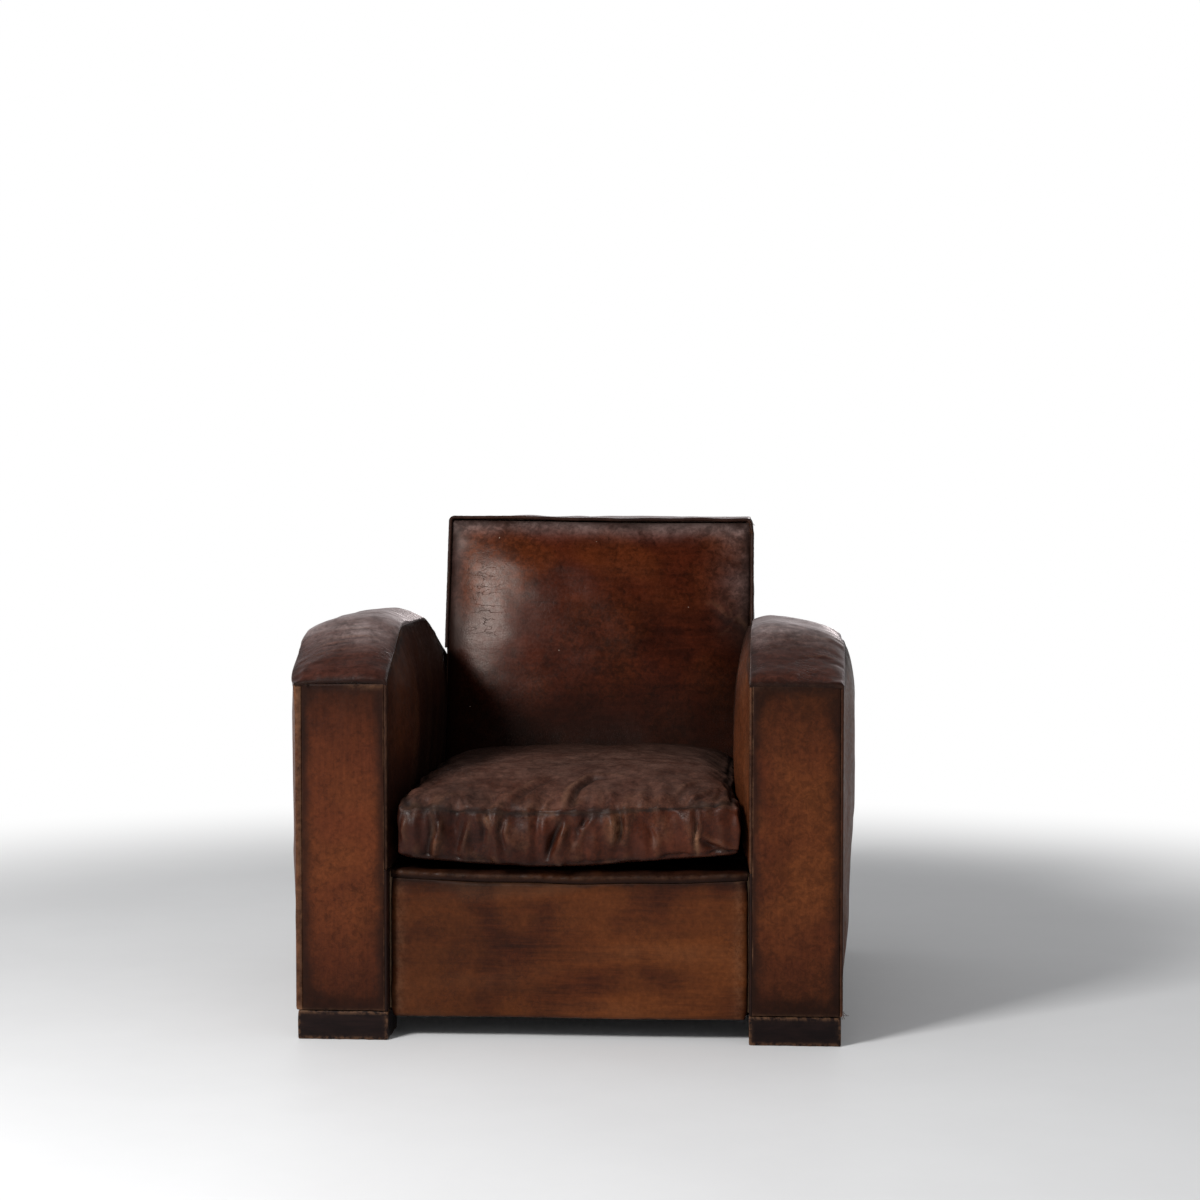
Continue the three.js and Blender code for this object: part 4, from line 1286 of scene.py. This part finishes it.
def makeApron():
    u, v = grid(0.52, 0.21, apron["step"])
    top = apron["seam"] - seamSag((2 * u - 1) * apron["half"])
    z = apron["low"] + (top - apron["low"]) * v
    narrow = 0.006 * np.exp(-(z - apron["low"]) / 0.006) + 0.0015 * smooth(v, 0.9, 1)
    half = apron["half"] - narrow
    x = (2 * u - 1) * half
    back = rounded(half - np.abs(x), apron["round"]) * 0.62
    back = np.maximum(back, rounded(z - apron["low"], 0.009) * 0.8)
    belly = 0.003 * np.sin(np.pi * u) ** 0.5 * np.sin(np.pi * v) ** 0.6
    points = np.stack([x, apron["setback"] + back - belly, z], -1)
    long = waves(apron["seed"], 0.07)
    ripple = waves(apron["seed"] + 1, 0.02)

    def relief(p, runs, seam):
        bottom, above, left, right = runs
        stretched = p * (0.25, 1, 1)
        rise = 0.0008 * long(stretched) + 0.0002 * ripple(p * (0.5, 1, 1))
        rise += gathers(p[..., 0], above, apron["seed"], 0.035, 0.0005, 0.012)
        rise += gathers(p[..., 2], left, apron["seed"] + 5, 0.026, 0.0007, 0.014)
        rise += gathers(p[..., 2], right, apron["seed"] + 6, 0.026, 0.0007, 0.014)
        # painted shade in the streaks' valleys and a little painted highlight on their ridges
        fold_light_and_shade = np.clip(long(stretched) * 0.06, -0.15, 0.1)
        edge = np.minimum(left, right)
        # painted highlights down the rounded ends
        wear_and_highlight = 0.16 * near(edge - 0.016, 0.009)
        # painted shade under the lip, along the ends and along the bottom; darker towards the left
        dirt_and_shade = 0.55 * smooth(0.06 - p[..., 0], 0, 0.26) + 0.9 * near(above, 0.012)
        dirt_and_shade += 0.6 * near(edge, 0.005) + 0.6 * near(bottom, 0.005)
        tan_and_light = smooth(p[..., 0], -0.2, 0.22) * smooth(long(stretched), -1.6, 0.8)
        return rise, {"fold_light_and_shade": fold_light_and_shade, "wear_and_highlight": wear_and_highlight, "dirt_and_shade": np.clip(0.6 * dirt_and_shade, 0, 0.8), "tan_and_light": tan_and_light}

    piece = cover("apron_leather_front", points, (0, -1, 0), apron, relief=relief, under=-0.0022)
    finished(piece, apronLeather, "apron_leather", "front_apron")


def makeLip():
    u, s = grid(0.528, lip["run"], 0.0035, 0.0032)
    x = (2 * u - 1) * lip["half"]
    run = s * lip["run"]
    rise = lip["rise"]
    radius = lip["radius"]
    flat = rise - radius
    turn = np.clip((run - rise + radius) / radius, 0, math.pi / 2)
    bend = flat + radius * math.pi / 2
    z = np.where(run < flat, run, flat + radius * np.sin(turn))
    y = np.where(run < flat, 0, radius * (1 - np.cos(turn)))
    y = np.where(run > bend, radius + run - bend, y)
    sag = seamSag(x) * (1 - smooth(y, 0.004, 0.0095))
    z = apron["seam"] + z - sag + 0.001 * smooth(y, 0.01, 0.06)
    y = apron["setback"] - 0.001 + y + 0.004 * smooth(np.abs(x), 0.245, lip["half"])
    points = np.stack([x, y, z], -1)
    lumps = waves(apron["seed"] + 9, 0.05)

    def relief(p, runs, seam):
        front = runs[0]
        lift = 0.0006 * lumps(p) + gathers(p[..., 0], front, 17, 0.03, 0.0005, 0.008)
        # a painted highlight along the rounded front
        wear_and_highlight = 0.12 * near(front - 0.009, 0.003)
        # nearly all of it painted dark, as the shade under the cushion
        return lift, {"wear_and_highlight": wear_and_highlight, "dirt_and_shade": 0.92 + 0.07 * smooth(front, 0.01, 0.03)}

    piece = cover("deck_lip_leather", points, (0, -1, 1), apron, relief=relief)
    finished(piece, apronLeather, "apron_leather", "deck_lip")


def makeDeck():
    u, s = grid(0.53, 0.62, 0.008)
    y = deck["front"] + deck["length"] * s
    x = (2 * u - 1) * deck["half"]
    z = np.full(x.shape, deck["height"])
    points = np.stack([x, y, z], -1)
    lumps = waves(apron["seed"] + 19, 0.06)
    relief = lambda p, runs, seam: (0.0012 * lumps(p) - 0.0014, {})
    look = {"roll": (0.002, 0.008)}
    piece = cover("platform_cover", points, (0, 0, 1), look, relief=relief, under=-0.0085)
    finished(piece, ticking, "stuffing", "deck_pad")


makeApron()
makeLip()
makeDeck()
print("apron made")


# seat cushion

cushion = {
    "voxel": 0.006,
    "cloth": {
        "quality": 6,
        "mass": 0.3,
        "tension_stiffness": 25,
        "compression_stiffness": 15,
        "shear_stiffness": 8,
        "bending_stiffness": 1.2,
        "use_pressure": True,
        "uniform_pressure_force": 4.0,
    },
    "cap": 0.014,
    "share": 0.6,  # of the cloth's own shape
    "frames": 20,
    "fill": 0.55,
    "low": 0.2535,
    "half": 0.2565,
    "squeeze": 0.009,  # of each side, between the bulging arms
    "rearGap": 0.0145,
    "sideSeam": 0.3735,  # how high the seam runs behind the front
    "crown": 0.058,
    "leastCrown": 0.012,
    # the front's seam and its lower edge, as x and z
    "seamFront": (
        (-0.262, -0.249, -0.168, -0.062, 0.0275, 0.098, 0.187, 0.262),
        (0.3455, 0.3432, 0.3372, 0.336, 0.3365, 0.3413, 0.3479, 0.352),
    ),
    "lowFront": (
        (-0.262, -0.186, -0.122, -0.044, 0.0275, 0.098, 0.169, 0.262),
        (0.272, 0.2655, 0.2602, 0.2565, 0.2595, 0.266, 0.272, 0.28),
    ),
    # pale spots on the front, worn places and painted highlights on fold ridges: how pale, where in x and z,
    # how wide and high
    "worn_and_lit": [
        (0.85, (0.189, 0.298), (0.0035, 0.02)),
        (0.7, (0.072, 0.318), (0.0045, 0.016)),
        (0.5, (-0.118, 0.327), (0.004, 0.008)),
    ],
    "seed": 300,
}

# folds of the front band, as lines in x and z, then each one's width and depth
frontFolds = [
    (((-0.201, 0.334), (-0.199, 0.31), (-0.204, 0.288), (-0.207, 0.272)), 0.0045, 0.0042),
    (((-0.19, 0.333), (-0.193, 0.316), (-0.19, 0.3)), 0.003, 0.002),
    (((-0.152, 0.328), (-0.157, 0.305), (-0.163, 0.285)), 0.004, 0.0024),
    (((-0.128, 0.334), (-0.122, 0.312), (-0.124, 0.292)), 0.0035, 0.0022),
    (((-0.095, 0.332), (-0.1, 0.308), (-0.094, 0.288)), 0.004, 0.0026),
    (((-0.006, 0.33), (-0.016, 0.31), (-0.026, 0.284), (-0.031, 0.272)), 0.0045, 0.0042),
    (((0.008, 0.318), (0.016, 0.31), (0.012, 0.296)), 0.003, 0.0016),
    (((0.03, 0.334), (0.022, 0.322), (0.014, 0.312)), 0.0035, 0.0022),
    (((0.066, 0.336), (0.068, 0.312), (0.066, 0.292)), 0.005, -0.003),
    (((0.078, 0.338), (0.08, 0.318), (0.077, 0.3)), 0.0035, 0.0024),
    (((0.112, 0.33), (0.118, 0.318), (0.128, 0.302)), 0.0025, 0.0012),
    (((0.138, 0.33), (0.134, 0.315), (0.142, 0.3)), 0.0022, 0.0012),
    (((0.186, 0.345), (0.189, 0.32), (0.185, 0.3), (0.192, 0.284)), 0.0025, 0.0026),
    (((0.196, 0.3), (0.21, 0.29), (0.232, 0.287)), 0.0035, 0.0026),
    (((0.206, 0.278), (0.225, 0.284), (0.25, 0.282)), 0.003, 0.0022),
    (((-0.245, 0.335), (-0.25, 0.31), (-0.246, 0.29)), 0.004, 0.0022),
]

# creases of the top, as lines in x and y
topFolds = [
    (((0.004, 0.0), (0.007, 0.02), (0.012, 0.05), (0.032, 0.086), (0.062, 0.082)), 0.006, 0.0052),
    (((-0.088, 0.004), (-0.072, 0.03), (-0.05, 0.07), (-0.03, 0.09)), 0.0065, 0.0028),
    (((0.158, 0.016), (0.176, 0.055), (0.2, 0.082)), 0.004, 0.002),
    (((0.17, 0.004), (0.188, 0.02), (0.219, 0.042)), 0.0035, 0.002),
    (((0.214, 0.004), (0.222, 0.036), (0.224, 0.052)), 0.0032, 0.0016),
    (((0.24, 0.02), (0.238, 0.06), (0.228, 0.1)), 0.004, 0.0016),
    (((-0.24, 0.03), (-0.215, 0.05), (-0.2, 0.09)), 0.004, 0.0012),
    (((-0.12, 0.0), (-0.115, 0.02), (-0.1, 0.04)), 0.003, 0.001),
    (((-0.03, 0.0), (-0.026, 0.016), (-0.014, 0.03)), 0.003, 0.0014),
    (((0.05, 0.0), (0.058, 0.02), (0.05, 0.045)), 0.0035, 0.0014),
    (((0.1, 0.0), (0.104, 0.02), (0.12, 0.035)), 0.0028, 0.0012),
]


def along(x, table):
    wide = (np.interp(x - 0.02, *table) + np.interp(x + 0.02, *table)) / 2
    return (np.interp(x, *table) + wide) / 2


def cushionRear(z):
    return backFaceY(z) - cushion["rearGap"]


def cushionHalf(y):
    return cushion["half"] - cushion["squeeze"] * frontRamp(y)


def cushionLimit(y, z):
    # the bulging arms hold it in
    v = np.clip((z - body["onDeck"]) / (armSeamZ(y, "right") - body["onDeck"]), 0, 1)
    return np.minimum(cushionHalf(y) + 0.0015, armInnerFace(y, v) - 0.0016)


def cushionSeamZ(x, y):
    front = along(x, cushion["seamFront"])
    rear = (cushion["sideSeam"] - front) * (1 - np.exp(-np.maximum(y, 0) / 0.08))
    return front + rear - 0.008 * smooth(y, 0.42, 0.56)


def cushionTopZ(x, y):
    half = cushionHalf(y)
    rise = cushion["crown"] * (1 - np.exp(-np.maximum(y, 0) / 0.075))
    centre = along(x, cushion["seamFront"]) + rise - 0.012 * smooth(y, 0.4, 0.56)
    share = np.clip(1 - (x / half) ** 2, 0, 1) ** 0.75
    edge = cushionSeamZ(x, y)
    return edge + np.maximum(centre - edge, cushion["leastCrown"]) * share


def cushionLowZ(x, y):
    lift = along(x, cushion["lowFront"]) - cushion["low"]
    return cushion["low"] + lift * near(np.maximum(y, 0), 0.12)


def roughCushion():
    shape = bmesh.new()
    bmesh.ops.create_cube(shape, size=2)
    bmesh.ops.subdivide_edges(shape, edges=shape.edges[:], cuts=47, use_grid_fill=True)
    mesh = bpy.data.meshes.new("seat_cushion_leather")
    shape.to_mesh(mesh)
    shape.free()
    p, q, r = places(mesh).T
    r = (r + 1) / 2
    y = -0.001 + 0.57 * (q + 1) / 2
    for _ in range(3):
        half = cushionHalf(y) - 0.004 * np.abs(q) ** 14
        x = p * half
        low = cushionLowZ(x, y)
        high = cushionTopZ(x, y) - 0.004
        z = low + (high - low) * r
        rear = cushionRear(z) - 0.012 * np.abs(p) ** 14
        start = -0.001 + 0.004 * np.abs(p) ** 14 - 0.005 * np.sin(np.pi * r) ** 0.8
        y = start + (rear - start) * (q + 1) / 2
    mesh.vertices.foreach_set("co", np.stack([x, y + frontY, z], -1).reshape(-1))
    mesh.update()
    piece = placed("seat_cushion_leather", mesh)
    remesh = piece.modifiers.new("remesh", "REMESH")
    remesh.mode = "VOXEL"
    remesh.voxel_size = cushion["voxel"]
    return bakeDown(piece)


def bakeDown(piece):
    mesh = evaluated(piece)
    piece.modifiers.clear()
    piece.data = mesh
    mesh.name = piece.name
    return piece


def places(mesh, kind="co"):
    flat = np.zeros(len(mesh.vertices) * 3)
    mesh.vertices.foreach_get(kind, flat)
    return flat.reshape(-1, 3)


def swell(piece):
    before = places(piece.data)
    cloth = piece.modifiers.new("swell", "CLOTH")
    for key, value in cushion["cloth"].items():
        setattr(cloth.settings, key, value)
    cloth.settings.effector_weights.gravity = 0
    cloth.point_cache.frame_start = 1
    cloth.point_cache.frame_end = cushion["frames"]
    for step in range(1, cushion["frames"] + 1):
        scene.frame_set(step)
    bakeDown(piece)
    scene.frame_set(1)
    moved = places(piece.data) - before
    size = np.linalg.norm(moved, axis=1)
    moved *= np.minimum(1, cushion["cap"] / np.maximum(size, 1e-9))[:, None]
    print("cushion swelled by up to", round(float(size.max()) * 1000, 1), "mm")
    return before, moved


def makeCushion():
    piece = roughCushion()
    before, moved = swell(piece)
    after = before + cushion["share"] * moved
    # it lies on the deck between the arms, and leans on the back
    x, y, z = after.T
    y = y - frontY
    z = np.maximum(z, cushionLowZ(x, y) - 0.0008)
    z = np.minimum(z, cushionTopZ(x, y) + 0.003)
    limit = cushionLimit(y, z)
    x = np.clip(x, -limit, limit)
    y = np.minimum(y, cushionRear(z) + 0.002)
    y = np.maximum(y, -0.0125)
    piece.data.vertices.foreach_set("co", np.stack([x, y + frontY, z], -1).reshape(-1))
    piece.data.update()
    finer = piece.modifiers.new("finer", "SUBSURF")
    finer.levels = 1
    finer.render_levels = 1
    bakeDown(piece)
    mesh = piece.data

    normals = places(mesh, "normal")
    points = places(mesh) - (0, frontY, 0)
    x, y, z = points.T
    front = smooth(-normals[:, 1], 0.25, 0.7) * (y < 0.05)
    upper = smooth(normals[:, 2], 0.2, 0.6)
    wall = 1 - smooth(np.abs(normals[:, 2]), 0.5, 0.85)
    seamLine = cushionSeamZ(x, y) - 0.001
    off = z - seamLine
    band = wall + upper * (np.abs(off) < 0.02)
    groove = near(off, 0.0016) * np.clip(band, 0, 1) * (1 - 0.6 * (1 - front) * wall)
    rise = -0.0014 * groove
    bead = near(off - 0.0032, 0.0022) * np.clip(band, 0, 1)
    rise += 0.0007 * bead
    # painted shade in the seam's groove and, below, in the groove along the lower edge
    fold_light_and_shade = -0.85 * groove
    lowLine = cushionLowZ(x, y) + 0.0055
    lowGroove = near(z - lowLine, 0.0018) * wall
    rise += -0.0014 * lowGroove
    fold_light_and_shade += -0.5 * lowGroove
    for folds, q, wider, deeper, where in (
        (frontFolds, z, 1.15, 2.1, front),
        (topFolds, y, 1.0, 1.5, upper),
    ):
        for line, width, depth in folds:
            dent = crease(x, q, line, width * wider, depth * deeper) * where
            rise += dent
            # painted shade in the folds' valleys and a painted highlight on their ridges
            fold_light_and_shade += np.minimum(dent, 0) / 0.009 + np.maximum(dent, 0) / 0.02
    bubble = spot(x, y, (0.036, 0.045), (0.03, 0.035)) * upper
    rise += 0.0035 * bubble
    rise += upper * gathers(x, np.maximum(off, 0), cushion["seed"], 0.03, 0.0019, 0.02) * (y < 0.06)
    rise += wall * gathers(x + y, np.maximum(-off, 0), cushion["seed"] + 1, 0.024, 0.0021, 0.02)
    soft = waves(cushion["seed"] + 2, 0.13)
    ripple = waves(cushion["seed"] + 3, 0.035)
    drawn = 0.0028 * ripple(points * (1, 1, 0.4)) * front
    rise += 0.0018 * soft(points) * upper + 0.0005 * ripple(points) + drawn
    resting = smooth(-normals[:, 2], 0.5, 0.9)
    rise *= 1 - resting
    points = points + normals * rise[:, None]
    limit = cushionLimit(y, z) + 0.0003
    points[:, 0] = np.clip(points[:, 0], -limit, limit)
    points[:, 2] = np.maximum(points[:, 2], 0.2524)
    # pale wear and painted highlights on the front
    wear_and_highlight = np.zeros(x.shape)
    for share, place, reach in cushion["worn_and_lit"]:
        wear_and_highlight += share * spot(x, z, place, reach) * front
    wear_and_highlight += 0.1 * np.clip(ripple(points * (1, 1, 0.5)), 0, 1) * front
    # dust and painted sheen on the top faces
    dust_and_sheen = upper * (0.55 + 0.45 * smooth(y, 0.02, 0.2))
    # painted shade: darker towards the back of the top, on the sides and underneath, and low on the front
    dirt_and_shade = 0.85 * smooth(y, 0.16, 0.5) + 0.6 * (1 - upper) * (1 - front)
    dirt_and_shade += 0.55 * front * smooth(0.285 - z, 0, 0.03)
    dirt_and_shade = np.clip(dirt_and_shade, 0, 0.9)
    tan_and_light = 0.8 * front * smooth(x, -0.02, 0.22)
    mesh.vertices.foreach_set("co", (points + (0, frontY, 0)).reshape(-1))
    seam = np.where(band > 0.2, np.abs(off), 0.3)
    fold_light_and_shade = np.clip(fold_light_and_shade, -0.85, 0.15)
    marked(mesh, {"seam": seam, "fold_light_and_shade": fold_light_and_shade, "wear_and_highlight": wear_and_highlight, "dust_and_sheen": dust_and_sheen, "dirt_and_shade": dirt_and_shade, "tan_and_light": tan_and_light})
    mesh.shade_smooth()
    mesh.update()
    finished(piece, seatLeather, "seat_leather", "seat_cushion")


makeCushion()
print("cushion made")


# feet

foot = {"step": 0.006, "edge": 0.0022, "seed": 400}


def woodBlock(name, low, high, seed):
    low, high = np.array(low), np.array(high)
    size = high - low
    shape = bmesh.new()
    bmesh.ops.create_cube(shape, size=1)
    for axis in range(3):
        cuts = max(2, int(size[axis] / foot["step"]))
        across = [e for e in shape.edges if abs((e.verts[0].co - e.verts[1].co)[axis]) > 1e-6]
        bmesh.ops.subdivide_edges(shape, edges=across, cuts=cuts, use_grid_fill=True)
    mesh = bpy.data.meshes.new(name)
    shape.to_mesh(mesh)
    shape.free()
    unit = places(mesh)
    # crowd the rows towards the edges, then round them
    unit = np.sin(unit * math.pi) / 2
    points = low + (unit + 0.5) * size
    inside = np.minimum(points - low, high - points)
    lumps = waves(seed, 0.012)
    worn = foot["edge"] * (1 + 0.35 * lumps(points))[:, None]
    core = np.clip(points, low + worn, high - worn)
    away = points - core
    reach = np.linalg.norm(away, axis=1)[:, None]
    points = core + away / np.maximum(reach, 1e-9) * np.minimum(reach, worn)
    order = np.sort(inside, axis=1)
    wear_and_highlight = near(order[:, 1], 0.0035)
    mesh.vertices.foreach_set("co", points.reshape(-1))
    marked(mesh, {"wear_and_highlight": wear_and_highlight})
    mesh.shade_smooth()
    mesh.set_sharp_from_angle(angle=math.radians(60))
    return placed(name, mesh)


for place in ("front", "rear"):
    for side in sides:
        low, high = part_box(f"{place}_foot_{side}")
        piece = woodBlock(f"{place}_foot_wood_{side}", low, high, foot["seed"] + sides[side])
        finished(piece, footWood, "stained_wood", f"{place}_foot_{side}")
print("feet made")


# what the covers hide keeps its CAD shape

plain = {
    "foot": footWood,
    "webbing": jute,
    "seat_spring": wire,
    "spring_cover": hessian,
    "dust_cloth": blackCloth,
    "pad": stuffing,
    "cover": armSideLeather,
    "": beech,
}
for name, node in nodes.items():
    node.data.materials.clear()
    node.data.materials.append(next(plain[word] for word in plain if word in name))
print("hidden parts finished")


# floor, light and camera

studio = {
    "floor": (0.78, 0.79, 0.81),
    "fade": (1.3, 2.6),  # where the floor turns into the white round it
    "world": 0.43,
    "frontWall": 0.4,  # how bright the room looks on the camera's side
    "ceiling": 0.15,
    "keyPower": 122,
    "keySize": 0.8,
    "keyPlace": (-1.75, -2.6, 2.35),
    "keyAim": (0, 0, 0.4),
    "keyColour": (1.0, 0.985, 0.96),
    "camera": (0.295, -4.043, 0.802),
    "yaw": 3.9,
    "pitch": 2.39,
    "lens": 75,
    "sensor": 36,
}


def seenRays(tree):
    rays = put(tree, "ShaderNodeLightPath").outputs
    seen = calc(tree, "MAXIMUM", rays["Is Camera Ray"], rays["Is Glossy Ray"])
    return calc(tree, "MAXIMUM", seen, rays["Is Transmission Ray"])


def makeFloor():
    bpy.ops.mesh.primitive_plane_add(size=14, location=(0, 0, 0))
    floor = bpy.context.object
    floor.name = "floor"
    material, tree, where = startMaterial("pale_floor")
    scuffs = noise(tree, where, 2.2, 6, 0.65)
    darker = tuple(c * 0.96 for c in studio["floor"])
    tint = blended(tree, ranged(tree, scuffs, 0.35, 0.7), studio["floor"], darker)
    paint = first(tree, "ShaderNodeBsdfPrincipled", {"Base Color": tint, "Roughness": 0.55})
    glow = first(tree, "ShaderNodeEmission", {"Color": (1, 1, 1, 1), "Strength": 1.0})
    far = put(tree, "ShaderNodeVectorMath", {0: where}, operation="LENGTH").outputs["Value"]
    share = ranged(tree, far, *studio["fade"], soft=True)
    share = times(tree, share, seenRays(tree))
    both = first(tree, "ShaderNodeMixShader", {0: share, 1: paint, 2: glow})
    put(tree, "ShaderNodeOutputMaterial", {"Surface": both})
    floor.data.materials.append(material)


def makeLight():
    world = bpy.data.worlds.new("studio")
    scene.world = world
    world.use_nodes = True
    tree = world.node_tree
    tree.nodes.clear()
    way = put(tree, "ShaderNodeTexCoord").outputs["Generated"]
    way = put(tree, "ShaderNodeSeparateXYZ", {0: way}).outputs
    walls = ranged(tree, way[1], -0.6, 0.35, studio["frontWall"], 1.0, soft=True)
    shown = times(tree, walls, ranged(tree, way[2], 0.22, 0.5, 1.0, studio["ceiling"], soft=True))
    mirrored = mixed(tree, seenRays(tree), studio["world"], shown)
    direct = put(tree, "ShaderNodeLightPath").outputs["Is Camera Ray"]
    strength = calc(tree, "MAXIMUM", direct, mirrored)
    sky = first(tree, "ShaderNodeBackground", {"Color": (1, 1, 1, 1), "Strength": strength})
    put(tree, "ShaderNodeOutputWorld", {"Surface": sky})
    lamp = bpy.data.lights.new("window", "AREA")
    lamp.energy = studio["keyPower"]
    lamp.size = studio["keySize"]
    lamp.color = studio["keyColour"]
    window = placed("window", lamp)
    window.location = studio["keyPlace"]
    aim = Vector(studio["keyAim"]) - window.location
    window.rotation_euler = aim.to_track_quat("-Z", "Y").to_euler()
    window.visible_camera = False


def makeCamera():
    data = bpy.data.cameras.new("camera")
    data.lens = studio["lens"]
    data.sensor_width = studio["sensor"]
    data.sensor_fit = "HORIZONTAL"
    camera = placed("camera", data)
    camera.location = studio["camera"]
    camera.rotation_euler = (math.radians(90 - studio["pitch"]), 0, math.radians(studio["yaw"]))
    scene.camera = camera


makeFloor()
makeLight()
makeCamera()
scene.view_settings.view_transform = "Standard"
bpy.context.view_layer.update()
